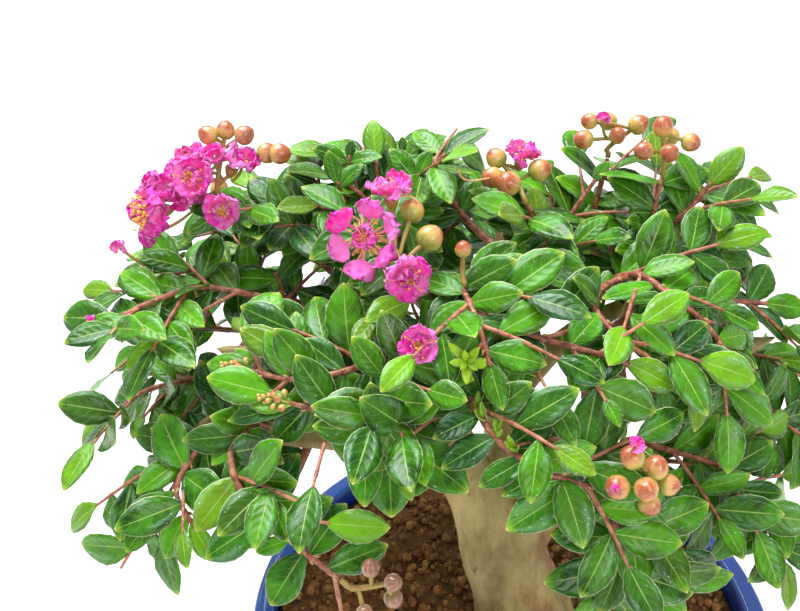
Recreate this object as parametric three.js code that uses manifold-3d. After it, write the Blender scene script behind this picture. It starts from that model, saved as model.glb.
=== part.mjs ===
// Crape myrtle bonsai in a round glazed pot.
// A short forked trunk carries leafy sprays, bunches of round buds and crinkled pink flowers.
// Millimetres, +Z up. The origin is the centre of the pot's flat foot, on the table.
// The front of the tree looks along -Y.

import * as THREE from "three";
import { mergeVertices } from "three/addons/utils/BufferGeometryUtils.js";
import Module from "manifold-3d";

const wasm = await Module();
wasm.setup();

// Fit between touching pieces
const GAP = 0.3;

// Pot
const RIM_RADIUS = 110;
const POT_HEIGHT = 80;
const WALL = 6;
const LIP_DROP = 9;
const LIP_OVERHANG = 3;
const FOOT_RADIUS = 78;
const FLOOR = 8;
const POT_SIDES = 24;
const DRAIN_RADIUS = 6;
const DRAIN_RING = 38;
const DRAIN_COUNT = 3;
const GROOVE_WIDTH = 16;
const GROOVE_DEPTH = 3;
const MESH_SIZE = 112;
const MESH_THICKNESS = 0.8;

// Soil
const SOIL_LEVEL = 69;
const SOIL_CROWN = 3;
const SOIL_BUMP = 1.2;

// Leaves, twigs, buds and petals
const LEAF_LENGTH = 21;
const LEAF_THICKNESS = 0.7;
const LEAF_WIDTH_RATIO = 0.56;
const FIRST_LEAF = 6;
const LEAF_PITCH = 9;
const SHOOT_PITCH = 8.5;
const LEAF_SPREAD = 58;
const LEAF_CLEARANCE = 0.3;
const TWIG_RADIUS = 1.3;
const TWIG_STEP = 14;
const LONG_STEP = 21;
const SHOOT_LENGTH = 30;
const SHOOT_SPREAD = 48;
const SHOOT_RADIUS = 1;
const PEDICEL_RADIUS = 0.75;
const BUD_RADIUS = 4.3;
const BUD_SIDES = 5;
const PETAL_THICKNESS = 0.7;
const PETAL_COUNT = 6;
const CORE_FOOT = 0.6;
const CORE_RADIUS = 1.7;
const CALYX_RADIUS = 2.2;
const CALYX_HEIGHT = 3.2;

// The crown of leaves is half of a flattened dome
const DOME_CENTRE = [-25, 32, 168];
const DOME_HALF = [138, 102, 98];

// Trunk and limbs: x, y, z and radius along each centre line
const LIMBS = {
  trunk: [
    [8, 0, 46, 12], [8, 0, 61, 24], [7, 0, 72, 22], [3, 0, 90, 19], [-2, 0, 105, 18],
    [-6, 0, 120, 16.5], [-6, 1, 132, 9],
  ],
  left: [[-6, 0, 112, 15], [-14, 1, 140, 13], [-22, 2, 156, 11], [-30, 5, 175, 9], [-36, 8, 190, 6]],
  right: [[-4, 1, 112, 14], [2, 2, 126, 13], [12, 4, 142, 11], [22, 8, 160, 9], [30, 14, 178, 6]],
  back: [[-4, 4, 116, 13], [-4, 16, 154, 9.5], [-6, 30, 180, 7.5], [-5, 38, 205, 5], [-10, 35, 236, 3]],
  left_far: [[-24, 3, 161, 7], [-48, 5, 186, 5.5], [-75, 5, 203, 4.2], [-104, 2, 213, 3]],
  left_front: [[-17, 1, 146, 7], [-36, -8, 172, 5.2], [-58, -18, 189, 4.2], [-84, -26, 198, 3]],
  left_up: [[-35, 8, 187, 5.5], [-45, 18, 210, 4.2], [-52, 26, 232, 3]],
  front: [[-29, 5, 172, 6], [-36, -10, 192, 4.6], [-41, -20, 208, 3]],
  right_far: [[20, 7, 157, 6.5], [40, 12, 181, 5.2], [60, 15, 198, 4], [82, 14, 208, 3]],
  right_front: [[8, 3, 136, 7], [22, -8, 160, 5], [32, -20, 184, 3.2]],
  right_up: [[30, 14, 176, 5.6], [36, 22, 200, 4.4], [42, 30, 224, 3]],
  back_right: [[-5, 26, 172, 6], [20, 42, 192, 4.6], [50, 52, 204, 3.2]],
  back_far: [[-6, 30, 178, 6], [-3, 56, 198, 4.4], [0, 80, 212, 3]],
  back_left: [[-6, 28, 175, 6], [-28, 46, 196, 4.6], [-50, 62, 210, 3.2]],
};
const LIMB_SIDES = { trunk: 9, left: 7, right: 7, back: 6 };
const THIN_LIMB_SIDES = 4;
const BRANCH_SIDES = 3;
const BRANCH_END_RADIUS = 1.4;

// Surface roots: bearing in degrees from +X, length and start radius
const ROOTS = [[200, 34, 9], [262, 30, 8], [318, 36, 9], [30, 32, 8], [110, 30, 8]];

// Tie wire, laid over the front of the trunk and pushed into the soil at both ends
const WIRE_RADIUS = 0.8;
const WIRE_SIDES = 4;
const WIRE_ROUTE = [
  [-72, 0, 60], [-64, -4, 74], [-48, -12, 87], [-30, -18, 91], [-12, -21, 91.5],
  [4, -21.8, 91], [20, -18, 90], [38, -9, 86], [54, 0, 74], [60, 4, 60],
];

// Sprays laid by hand: the routes of the main stem and its fork, and the large leaves on them.
// A leaf is [stem, distance along it, bearing from the stem in degrees, length, width over length].
const SPRAYS = [
  {
    name: "low_left",
    routes: [[[-96, -20, 200], [-103, -38, 198], [-92, -50, 190], [-79, -58, 181], [-66, -64, 173]]],
    leaves: [
      [0, 6, 18, 20, 0.42], [0, 40, 107, 22, 0.5], [0, 41, -104, 26, 0.5], [0, 46, 71, 20, 0.5],
      [0, 57, -86, 21, 0.6], [0, 59, 93, 20, 0.6], [0, 66, 61, 21, 0.5], [0, 51, -116, 13, 0.45],
    ],
  },
  {
    name: "front_left",
    routes: [[[-110, -18, 194], [-119, -30, 190], [-121, -40, 184], [-115, -46, 178]]],
    leaves: [[0, 17, -140, 22, 0.72], [0, 19, 68, 20, 0.75], [0, 25, -55, 23, 0.35]],
  },
  {
    name: "edge_left",
    routes: [[[-118, -14, 192], [-129, -28, 186], [-130, -36, 178], [-127, -44, 169]]],
    leaves: [[0, 38, -88, 24, 0.5], [0, 27, 52, 13, 0.6], [0, 22, -77, 20, 0.6]],
  },
  {
    name: "mid_left",
    routes: [[[-100, 20, 226], [-121, 20, 229], [-138, 9, 228], [-150, 0, 225]]],
    leaves: [],
  },
  {
    name: "top_left",
    routes: [[[-72, 48, 236], [-92, 46, 246], [-106, 40, 251]]],
    leaves: [[0, 30, 67, 23, 0.7]],
  },
  { name: "top_centre", routes: [[[-36, 8, 240], [-42, 4, 250], [-49, 2, 255]]], leaves: [] },
  {
    name: "shoulder_left",
    routes: [
      [[-47, -20, 220], [-58, -28, 231], [-69, -33, 230], [-86, -31, 227], [-94, -28, 228]],
      [[-52, -24, 226], [-59, -34, 219], [-66, -40, 221], [-75, -40, 224], [-81, -38, 223]],
    ],
    leaves: [[0, 36, -53, 26, 0.6], [0, 31, -90, 22, 0.62], [1, 10, 17, 19, 0.8], [1, 36, 20, 24, 0.3]],
  },
  {
    name: "front_centre",
    routes: [[[-47, -25, 217], [-53, -32, 223], [-49, -34, 233], [-42, -34, 241]]],
    leaves: [[0, 24, 82, 19, 0.66], [0, 21, -72, 18, 0.55]],
  },
  {
    name: "front_inner",
    routes: [[[-30, -30, 202], [-36, -42, 211], [-44, -46, 215], [-58, -49, 221]]],
    leaves: [[0, 33, 96, 24, 0.68], [0, 40, 92, 22, 0.5], [0, 29, 146, 26, 0.55], [0, 37, 125, 13, 0.6]],
  },
  {
    name: "front_right",
    routes: [
      [[-24, -20, 212], [-25, -38, 225], [-21, -48, 221], [-5, -57, 213], [8, -58, 208], [18, -57, 204]],
      [[16, -57, 204], [20, -62, 189], [26, -62, 166]],
    ],
    leaves: [
      [0, 60, 67, 26, 0.55], [0, 68, 36, 26, 0.5], [0, 66, -138, 26, 0.5], [0, 55, -131, 15, 0.5],
      [0, 48, -114, 16, 0.5], [0, 42, 70, 18, 0.55], [0, 37, -95, 19, 0.5], [0, 29, -95, 17, 0.5],
      [0, 24, -84, 15, 0.4], [1, 16, -119, 21, 0.5], [1, 19, 71, 26, 0.42], [1, 29, -107, 26, 0.5],
      [1, 31, 45, 27, 0.5], [1, 37, 37, 26, 0.5],
    ],
  },
  {
    name: "centre_high",
    routes: [
      [[-30, 12, 238], [-27, -12, 248], [-23, -27, 245], [-20, -39, 238]],
      [[-25, -20, 246.5], [-14, -25, 242], [2, -30, 240], [14, -33, 238], [23, -34, 235]],
    ],
    leaves: [
      [0, 24, 116, 22, 0.6], [0, 32, 80, 22, 0.42], [0, 40, 68, 16, 0.4], [1, 20, 95, 21, 0.45],
      [1, 16, -52, 16, 0.75], [1, 33, 68, 18, 0.6], [0, 29, -138, 17, 0.6], [1, 43, -120, 16, 0.75],
    ],
  },
  {
    name: "right_inner",
    routes: [
      [[26, 14, 236], [34, 4, 244], [42, -10, 243], [52, -13, 236], [60, -16, 227]],
      [[31, 8, 241], [17, -6, 243], [17, -19, 241], [26, -30, 237], [34, -30, 232]],
    ],
    leaves: [
      [1, 20, -92, 22, 0.45], [1, 15, -100, 20, 0.5], [0, 22, -92, 21, 0.35], [0, 37, -118, 24, 0.5],
      [0, 44, -98, 20, 0.7], [0, 31, -138, 17, 0.35], [1, 41, -68, 19, 0.75], [0, 26, 108, 22, 0.5],
    ],
  },
  {
    name: "top_right",
    routes: [
      [[46, 38, 228], [45, 37, 250], [47, 41, 263]],
      [[45, 37, 240], [57, 36, 252], [64, 38, 262]],
    ],
    leaves: [[0, 33, 71, 22, 0.4]],
  },
  {
    name: "crown_front",
    routes: [[[6, 34, 242], [2, 28, 250], [-2, 33, 256]]],
    leaves: [[0, 13, 164, 20, 0.5]],
  },
  {
    name: "crown_back",
    routes: [[[26, 52, 240], [29, 56, 252], [31, 59, 262]]],
    leaves: [[0, 8, -20, 24, 0.5]],
  },
];

// One more spray stands along the crest of the crown and forks to both sides
const CREST_SPRAY = {
  name: "crest",
  routes: [
    [[-50, 40, 234], [-55, 50, 250], [-56, 58, 262]],
    [[-52, 45, 243], [-66, 52, 254], [-80, 58, 259]],
    [[-54, 48, 247], [-42, 52, 257], [-30, 54, 266]],
  ],
  leaves: [],
};

// The other sprays follow the dome: bearing and elevation of each tip in degrees, from the front.
// Each starts and bends at a share of the way from the dome's centre to its surface.
const RINGS = [
  { name: "skirt", elevation: 4, seat: 0.62, bearings: [44, 68, 94, 124, 156, 188, 220, 250, 276] },
  { name: "side", elevation: 36, seat: 0.52, bearings: [72, 112, 152, 192, 232, 262] },
  { name: "crown", elevation: 66, seat: 0.48, bearings: [110, 200] },
];
const RING_BEND = 0.86;

// Bunches of buds and flowers: each grows from the tip of a spray. Girth is the buds' share of full size.
const BUNCHES = [
  {
    name: "top_left",
    spray: "top_left",
    hub: [-113, 40, 257],
    girth: 0.88,
    buds: [[-116, 50, 275], [-110, 52, 276], [-103, 50, 275], [-95, 48, 269], [-90, 45, 270]],
    blooms: [
      [[-107, 44, 266], [0.4, 0.1, 0.9], 9],
      [[-119, 34, 265], [-0.1, -0.8, 0.6], 8.5],
      [[-110, 30, 256], [0.2, -0.9, 0.1], 7.5],
      [[-132, 32, 254], [-0.7, -0.6, 0.2], 11],
      [[-122, 45, 266], [-0.4, -0.1, 0.9], 8],
    ],
  },
  {
    name: "top_centre",
    spray: "top_centre",
    hub: [-50, 2, 258],
    buds: [[-43, 6, 267], [-37.5, -3, 262]],
    blooms: [
      [[-57, -4, 262.5], [-0.3, -0.85, 0.45], 14, "slender"],
      [[-45, -17, 257], [0.1, -0.95, 0.1], 8.5],
      [[-50, 9, 271], [-0.1, 0.1, 1], 8.5],
    ],
  },
  {
    name: "crown_front",
    spray: "crown_front",
    hub: [-5, 42, 261],
    buds: [[-12, 48, 267], [-14, 40, 263], [-9, 33, 264], [3, 42, 265]],
    blooms: [[[-3, 47, 267], [0.2, -0.2, 0.95], 7.5]],
  },
  {
    name: "crown_back",
    spray: "crown_back",
    hub: [31, 60, 266],
    girth: 0.85,
    buds: [[23, 61, 276], [21, 58, 270], [33, 57, 272], [41, 60, 275], [31, 66, 274]],
  },
  {
    name: "top_right",
    spray: "top_right",
    hub: [47, 41, 267],
    girth: 0.85,
    buds: [[45, 43, 281], [46, 34, 275], [38, 38, 274], [55, 41, 276], [50, 49, 275]],
  },
  {
    name: "front_right",
    spray: "front_right",
    hub: [22, -57, 206],
    girth: 0.88,
    buds: [[21, -58, 219], [17, -62, 211], [24.5, -65, 213], [29, -57, 214], [27, -63, 205], [33, -59, 209]],
  },
  {
    name: "low_left",
    spray: "low_left",
    hub: [-61, -66, 171],
    girth: 0.72,
    buds: [[-56, -68, 183], [-49, -72, 181], [-49, -70, 171], [-58, -73, 168]],
  },
  {
    name: "centre",
    spray: "centre_high",
    beside: [-26.5, -11, 247],
    hub: [-27, -8, 252],
    girth: 0.68,
    buds: [[-27, -6, 259.5]],
  },
  { name: "rear", spray: "side_192", buds: 3 },
  { name: "rear_left", spray: "side_232", buds: 3 },
  { name: "rear_right", spray: "side_112", buds: 3 },
];
const RULE_BUNCH_RISE = 11;

// Single small flowers seated on the tips of their sprays
const LONE_BLOOMS = [
  { name: "lone_centre", spray: "front_centre", facing: [-0.2, -0.8, 0.5], radius: 7 },
  { name: "lone_left", spray: "mid_left", facing: [-0.8, -0.3, 0.3], radius: 6 },
];

const COLOURS = {
  pot: [0x1d3f9e, 0.18],
  soil: [0x3d2819, 0.95],
  trunk: [0xa8916b, 0.8],
  wire: [0x6b4a35, 0.5],
  mesh: [0x2b2b2b, 0.6],
  leaves: [0x2f6a2c, 0.35],
  bunch: [0xb96f42, 0.4],
  petals: [0xd62f96, 0.6],
};

const UP = new THREE.Vector3(0, 0, 1);
const RIGHT = new THREE.Vector3(1, 0, 0);
const LIGHT_WAY = new THREE.Vector3(0, -1, 0.3);
const LEAF_LEAN = 0.5;

function vector([x, y, z]) {
  return new THREE.Vector3(x, y, z);
}

function radians(degrees) {
  return (degrees * Math.PI) / 180;
}

// A seeded stream of numbers from 0 to 1
function draws(seed) {
  let state = (seed * 48271 + 11) % 2147483647;
  const next = () => {
    state = (state * 16807) % 2147483647;
    return (state - 1) / 2147483646;
  };
  next();
  next();
  return next;
}

// Closed solids

function solidFrom(points, faces) {
  const positions = new Float32Array(points.flatMap((p) => [p.x, p.y, p.z]));
  let volume = 0;
  for (const [a, b, c] of faces) {
    volume += points[a].dot(points[b].clone().cross(points[c]));
  }
  const turned = volume < 0 ? faces.map(([a, b, c]) => [a, c, b]) : faces;
  const triVerts = new Uint32Array(turned.flat());
  return new wasm.Manifold(new wasm.Mesh({ numProp: 3, vertProperties: positions, triVerts }));
}

function solidOfGeometry(geometry) {
  geometry.deleteAttribute("normal");
  geometry.deleteAttribute("uv");
  const merged = mergeVertices(geometry, 1e-4);
  const position = merged.getAttribute("position");
  const index = merged.getIndex().array;
  const points = Array.from({ length: position.count }, (_, i) =>
    new THREE.Vector3().fromBufferAttribute(position, i));
  const faces = [];
  for (let i = 0; i < index.length; i += 3) {
    const face = [index[i], index[i + 1], index[i + 2]];
    if (new Set(face).size === 3) faces.push(face);
  }
  return solidFrom(points, faces);
}

// A solid through rings of points; the end rings are closed flat
function loft(rings) {
  const points = rings.flat();
  const count = rings[0].length;
  const faces = [];
  for (let i = 0; i + 1 < rings.length; i += 1) {
    for (let j = 0; j < count; j += 1) {
      const a = i * count + j;
      const b = i * count + ((j + 1) % count);
      faces.push([a, b, b + count], [a, b + count, a + count]);
    }
  }
  const last = (rings.length - 1) * count;
  for (let j = 1; j + 1 < count; j += 1) {
    faces.push([0, j + 1, j], [last, last + j, last + j + 1]);
  }
  return solidFrom(points, faces);
}

// A thin curved blade from rows of points across it; a row of one point is a tip.
// Both faces are split into triangles the same way.
function blade(rows, normals, thickness) {
  const points = [];
  const top = [];
  const bottom = [];
  rows.forEach((row, i) => {
    const shift = normals[i].clone().multiplyScalar(thickness / 2);
    top.push(row.map((p) => points.push(row.length > 1 ? p.clone().add(shift) : p) - 1));
    bottom.push(row.length > 1 ? row.map((p) => points.push(p.clone().sub(shift)) - 1) : top[i]);
  });
  const faces = [];
  const quad = (a, b, c, d) => faces.push([a, b, c], [a, c, d]);
  for (let i = 0; i + 1 < rows.length; i += 1) {
    const [near, far] = [top[i], top[i + 1]];
    const [nearUnder, farUnder] = [bottom[i], bottom[i + 1]];
    const count = Math.max(near.length, far.length);
    const tipped = near.length !== far.length;
    for (let j = 0; j + 1 < count; j += 1) {
      if (tipped && near.length === 1) {
        faces.push([near[0], far[j + 1], far[j]], [nearUnder[0], farUnder[j], farUnder[j + 1]]);
      } else if (tipped) {
        faces.push([far[0], near[j], near[j + 1]], [farUnder[0], nearUnder[j + 1], nearUnder[j]]);
      } else if (j < (count - 1) / 2) {
        quad(near[j + 1], far[j + 1], far[j], near[j]);
        faces.push([nearUnder[j + 1], farUnder[j], farUnder[j + 1]]);
        faces.push([nearUnder[j + 1], nearUnder[j], farUnder[j]]);
      } else {
        quad(near[j], near[j + 1], far[j + 1], far[j]);
        faces.push([nearUnder[j], farUnder[j + 1], nearUnder[j + 1]]);
        faces.push([nearUnder[j], farUnder[j], farUnder[j + 1]]);
      }
    }
    for (const side of [0, count - 1]) {
      const flip = side === 0 ? 1 : -1;
      const a = near[near.length === 1 ? 0 : side];
      const b = far[far.length === 1 ? 0 : side];
      const c = farUnder[far.length === 1 ? 0 : side];
      const d = nearUnder[near.length === 1 ? 0 : side];
      const ring = [a, b, c, d].filter((k, n, all) => all.indexOf(k) === n);
      for (let k = 1; k + 1 < ring.length; k += 1) {
        faces.push(flip > 0 ? [ring[0], ring[k], ring[k + 1]] : [ring[0], ring[k + 1], ring[k]]);
      }
    }
  }
  return solidFrom(points, faces);
}

// Curves

// A smooth line through points: uniform Catmull-Rom with mirrored ends, as a fine polyline
function smooth(route, pieces = 12) {
  const points = route.map((p) => (p.isVector3 ? p : vector(p)));
  if (points.length === 2) return points;
  const first = points[0].clone().multiplyScalar(2).sub(points[1]);
  const last = points.at(-1).clone().multiplyScalar(2).sub(points.at(-2));
  const all = [first, ...points, last];
  const line = [points[0]];
  for (let i = 1; i + 2 < all.length; i += 1) {
    for (let k = 1; k <= pieces; k += 1) {
      const t = k / pieces;
      const weights = [
        -0.5 * t ** 3 + t ** 2 - 0.5 * t,
        1.5 * t ** 3 - 2.5 * t ** 2 + 1,
        -1.5 * t ** 3 + 2 * t ** 2 + 0.5 * t,
        0.5 * t ** 3 - 0.5 * t ** 2,
      ];
      const point = new THREE.Vector3();
      weights.forEach((w, n) => point.addScaledVector(all[i - 1 + n], w));
      line.push(point);
    }
  }
  return line;
}

function lengthOf(line) {
  let total = 0;
  for (let i = 1; i < line.length; i += 1) total += line[i].distanceTo(line[i - 1]);
  return total;
}

// The point and direction at a distance along a polyline
function placeOn(line, distance) {
  let left = distance;
  for (let i = 1; i < line.length; i += 1) {
    const step = line[i].distanceTo(line[i - 1]);
    if (left <= step || i === line.length - 1) {
      const tangent = line[i].clone().sub(line[i - 1]).normalize();
      return { point: line[i - 1].clone().addScaledVector(tangent, left), tangent };
    }
    left -= step;
  }
  return null;
}

function resample(line, step) {
  const total = lengthOf(line);
  const count = Math.max(1, Math.round(total / step));
  return Array.from({ length: count + 1 }, (_, i) => placeOn(line, (total * i) / count).point);
}

// A tapered tube along points, square to its line at both ends
function tube(points, radii, sides) {
  const tangents = points.map((_, i) => {
    const before = points[Math.max(0, i - 1)];
    const after = points[Math.min(points.length - 1, i + 1)];
    return after.clone().sub(before).normalize();
  });
  let side = RIGHT.clone().addScaledVector(tangents[0], -RIGHT.dot(tangents[0]));
  if (side.length() < 0.3) side = UP.clone().addScaledVector(tangents[0], -UP.dot(tangents[0]));
  side.normalize();
  const rings = points.map((point, i) => {
    side.addScaledVector(tangents[i], -side.dot(tangents[i])).normalize();
    const other = tangents[i].clone().cross(side);
    return Array.from({ length: sides }, (_, k) => {
      const angle = (2 * Math.PI * k) / sides;
      return point.clone()
        .addScaledVector(side, radii[i] * Math.cos(angle))
        .addScaledVector(other, radii[i] * Math.sin(angle));
    });
  });
  return loft(rings);
}

// Pot, soil, drain mesh and wire

function spin(profile) {
  const outline = profile.map(([r, z]) => new THREE.Vector2(r, z));
  return solidOfGeometry(new THREE.LatheGeometry(outline, POT_SIDES).rotateX(Math.PI / 2));
}

// Radius of the pot's outer wall at a height
function wallRadius(z) {
  const t = z / (POT_HEIGHT - LIP_DROP);
  return FOOT_RADIUS + 2 + (RIM_RADIUS - LIP_OVERHANG - FOOT_RADIUS - 2) * Math.sin((Math.PI / 2) * t ** 0.8);
}

const WALL_STATIONS = [2, 20, 44, POT_HEIGHT - LIP_DROP];
const INNER_STATIONS = [FLOOR, 20, 44, POT_HEIGHT - LIP_DROP, POT_HEIGHT - 2];

function innerRadius(z) {
  return wallRadius(Math.min(z, POT_HEIGHT - LIP_DROP)) - WALL;
}

function makePot() {
  const outer = WALL_STATIONS.map((z) => [wallRadius(z), z]);
  const inner = INNER_STATIONS.map((z) => [innerRadius(z), z]).reverse();
  const body = spin([
    [0, 0], [FOOT_RADIUS, 0], ...outer,
    [RIM_RADIUS, POT_HEIGHT - LIP_DROP + 3], [RIM_RADIUS, POT_HEIGHT - 2], [RIM_RADIUS - 2, POT_HEIGHT],
    [innerRadius(POT_HEIGHT) + 2, POT_HEIGHT], ...inner, [0, FLOOR],
  ]);
  const cuts = [];
  for (let i = 0; i < DRAIN_COUNT; i += 1) {
    const bearing = (2 * Math.PI * i) / DRAIN_COUNT + Math.PI / 2;
    const hole = new THREE.CylinderGeometry(DRAIN_RADIUS, DRAIN_RADIUS, 4 * FLOOR, 8).rotateX(Math.PI / 2);
    hole.translate(DRAIN_RING * Math.cos(bearing), DRAIN_RING * Math.sin(bearing), 0);
    const length = FOOT_RADIUS - DRAIN_RING + 2 * DRAIN_RADIUS;
    const groove = new THREE.BoxGeometry(length + 10, GROOVE_WIDTH, 2 * GROOVE_DEPTH);
    groove.translate(DRAIN_RING - DRAIN_RADIUS + length / 2 + 5, 0, 0).rotateZ(bearing);
    cuts.push(solidOfGeometry(hole), solidOfGeometry(groove));
  }
  return body.subtract(wasm.Manifold.union(cuts));
}

// Square plastic mesh over the drain holes
function makeDrainMesh() {
  const half = MESH_SIZE / 2;
  const plate = new THREE.BoxGeometry(MESH_SIZE, MESH_SIZE, MESH_THICKNESS);
  plate.translate(0, 0, FLOOR + GAP + MESH_THICKNESS / 2);
  const slots = [];
  for (const bearing of [0, 1, 2]) {
    const angle = (2 * Math.PI * bearing) / DRAIN_COUNT + Math.PI / 2;
    const slot = new THREE.BoxGeometry(half / 8, half / 8, 4);
    slot.translate(DRAIN_RING * Math.cos(angle), DRAIN_RING * Math.sin(angle), FLOOR);
    slots.push(solidOfGeometry(slot));
  }
  return solidOfGeometry(plate).subtract(wasm.Manifold.union(slots));
}

function soilHeight(x, y) {
  const out = Math.hypot(x, y) / RIM_RADIUS;
  const bumps = Math.sin(x * 0.21 + 1) * Math.cos(y * 0.17) + Math.sin(x * 0.11 - y * 0.13);
  return SOIL_LEVEL + SOIL_CROWN * (1 - out * out) + SOIL_BUMP * bumps * (1 - out ** 4);
}

function makeSoil() {
  const stations = [FLOOR + GAP + MESH_THICKNESS + GAP, 20, 44];
  const ring = (radius, height) => Array.from({ length: POT_SIDES }, (_, i) => {
    const angle = (2 * Math.PI * i) / POT_SIDES + Math.PI / 2;
    const x = radius * Math.cos(angle);
    const y = radius * Math.sin(angle);
    return new THREE.Vector3(x, y, height ?? soilHeight(x, y));
  });
  const topRadius = innerRadius(SOIL_LEVEL) - 2 * GAP;
  const rings = stations.map((z) => ring(innerRadius(z) - 2 * GAP, z));
  for (const share of [1, 0.66, 0.36]) rings.push(ring(topRadius * share));
  return loft(rings);
}

// Trunk, limbs, roots and branches

function makeLimb(name, grow = 0) {
  const stations = LIMBS[name];
  const sides = LIMB_SIDES[name] ?? THIN_LIMB_SIDES;
  const line = smooth(stations, 1);
  const perPoint = (line.length - 1) / (stations.length - 1);
  const radii = line.map((_, i) => {
    const at = i / perPoint;
    const low = Math.min(Math.floor(at), stations.length - 2);
    return THREE.MathUtils.lerp(stations[low][3], stations[low + 1][3], at - low) + grow;
  });
  return tube(line, radii, sides);
}

function makeRoot([bearing, length, radius], grow = 0) {
  const angle = radians(bearing);
  const [cx, cy] = LIMBS.trunk[1];
  const at = (out, z) => new THREE.Vector3(cx + out * Math.cos(angle), cy + out * Math.sin(angle), z);
  const line = [at(4, SOIL_LEVEL + 9), at(length * 0.6, SOIL_LEVEL + 3), at(length, SOIL_LEVEL - 8)];
  const radii = [radius, radius * 0.6, radius * 0.3].map((r) => r + grow);
  return tube(line, radii, 5);
}

// The places on the limbs that a branch may leave from
function forkPoints() {
  const points = [];
  for (const [name, stations] of Object.entries(LIMBS)) {
    if (name === "trunk") continue;
    const line = smooth(stations, 4);
    line.forEach((point, i) => {
      if (i < 4) return;
      const at = i / 4;
      const low = Math.min(Math.floor(at), stations.length - 2);
      const radius = THREE.MathUtils.lerp(stations[low][3], stations[low + 1][3], at - low);
      points.push({ point, radius });
    });
  }
  return points;
}

function makeBranch(seat, direction, places) {
  const end = seat.clone().addScaledVector(direction, -GAP);
  let best = null;
  let least = Infinity;
  for (const place of places) {
    const back = place.point.clone().sub(end);
    const above = Math.max(0, place.point.z - end.z);
    const cost = back.length() + 1.2 * above + 0.5 * Math.max(0, back.dot(direction));
    if (cost < least) {
      least = cost;
      best = place;
    }
  }
  const span = best.point.distanceTo(end);
  const control = end.clone().addScaledVector(direction, -0.45 * span);
  const startRadius = Math.min(best.radius * 0.8, 3);
  const steps = span < 50 ? 2 : 3;
  const points = [];
  const radii = [];
  for (let i = 0; i <= steps; i += 1) {
    const t = i / steps;
    const point = best.point.clone().multiplyScalar((1 - t) ** 2)
      .addScaledVector(control, 2 * t * (1 - t))
      .addScaledVector(end, t * t);
    points.push(point);
    radii.push(THREE.MathUtils.lerp(startRadius, BRANCH_END_RADIUS, t));
  }
  points.push(end);
  points[steps] = end.clone().addScaledVector(direction, -2.5);
  radii.push(BRANCH_END_RADIUS);
  return tube(points, radii, BRANCH_SIDES);
}

// Sprays

function domePoint(bearing, elevation, share) {
  const b = radians(bearing);
  const e = radians(elevation);
  const [x, y, z] = DOME_CENTRE;
  return new THREE.Vector3(
    x + share * DOME_HALF[0] * Math.cos(e) * Math.sin(b),
    y - share * DOME_HALF[1] * Math.cos(e) * Math.cos(b),
    z + share * DOME_HALF[2] * Math.sin(e),
  );
}

function domeNormal(point) {
  return new THREE.Vector3(
    (point.x - DOME_CENTRE[0]) / DOME_HALF[0] ** 2,
    (point.y - DOME_CENTRE[1]) / DOME_HALF[1] ** 2,
    (point.z - DOME_CENTRE[2]) / DOME_HALF[2] ** 2,
  ).normalize();
}

function ringSprays() {
  return RINGS.flatMap(({ name, elevation, seat: share, bearings }) => bearings.map((bearing) => {
    const rise = Math.cos(radians(elevation));
    const seat = domePoint(bearing, elevation, share).addScaledVector(UP, 14 * rise);
    const bend = domePoint(bearing + 4, elevation, RING_BEND).addScaledVector(UP, 12 * rise);
    const tip = domePoint(bearing + 6, elevation, 1);
    return { name: `${name}_${bearing}`, routes: [[seat, bend, tip]], leaves: [] };
  }));
}

// The centre lines of a spray's main stem and fork
function stemLines({ routes, leaves }) {
  return routes.map((route) => resample(smooth(route), leaves.length > 0 ? TWIG_STEP : LONG_STEP));
}

// Everything that grows on one spray, before any of it is placed
function growSpray(spray, seed) {
  const stems = stemLines(spray);
  const large = spray.leaves.map(([which, distance, bearing, length, ratio]) => (
    { ...placeOn(stems[which], distance), bearing, length, ratio }
  ));
  const shoots = [];
  const leaves = [];
  stems.forEach((line, which) => {
    const total = lengthOf(line);
    const first = seed * 1000 + which * 300;
    for (let i = 0; FIRST_LEAF + i * LEAF_PITCH < total - 2; i += 1) {
      const distance = FIRST_LEAF + i * LEAF_PITCH;
      const node = { ...placeOn(line, distance), share: distance / total };
      const shootSide = [0, 1, 0, 0, -1, 0][i % 6];
      if (shootSide !== 0) shoots.push({ ...node, id: first + i * 4, side: shootSide });
      for (const side of [1, -1]) {
        if (side !== shootSide) leaves.push({ ...node, id: first + i * 4 + 1 + side, side, end: false });
      }
    }
    if (!spray.carries || which > 0) {
      leaves.push({ ...placeOn(line, total - 1.5), id: first + 299, side: 0, end: true });
    }
  });
  return { stems, large, shoots, leaves };
}

// The plane a leaf or shoot lies in: mostly facing out of the dome and up. Leaves also lean to the light.
function facing(point, random, jitter, lean = 0) {
  const tilt = new THREE.Vector3(random() - 0.5, random() - 0.5, random() - 0.5).multiplyScalar(jitter);
  const out = domeNormal(point).multiplyScalar(0.6).addScaledVector(UP, 0.4);
  return out.addScaledVector(LIGHT_WAY, lean).add(tilt).normalize();
}

function heading(node, normal, spread, side) {
  const across = node.tangent.clone().cross(normal).normalize().multiplyScalar(side);
  const angle = side === 0 ? 0 : radians(spread);
  const forward = node.tangent.clone().multiplyScalar(Math.cos(angle));
  return forward.addScaledVector(across, Math.sin(angle)).normalize();
}

const LEAF_STATIONS = [0.34, 0.68];

function leafHalfWidth(share) {
  return Math.sin(Math.PI * share ** 1.1) ** 0.85;
}

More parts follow.
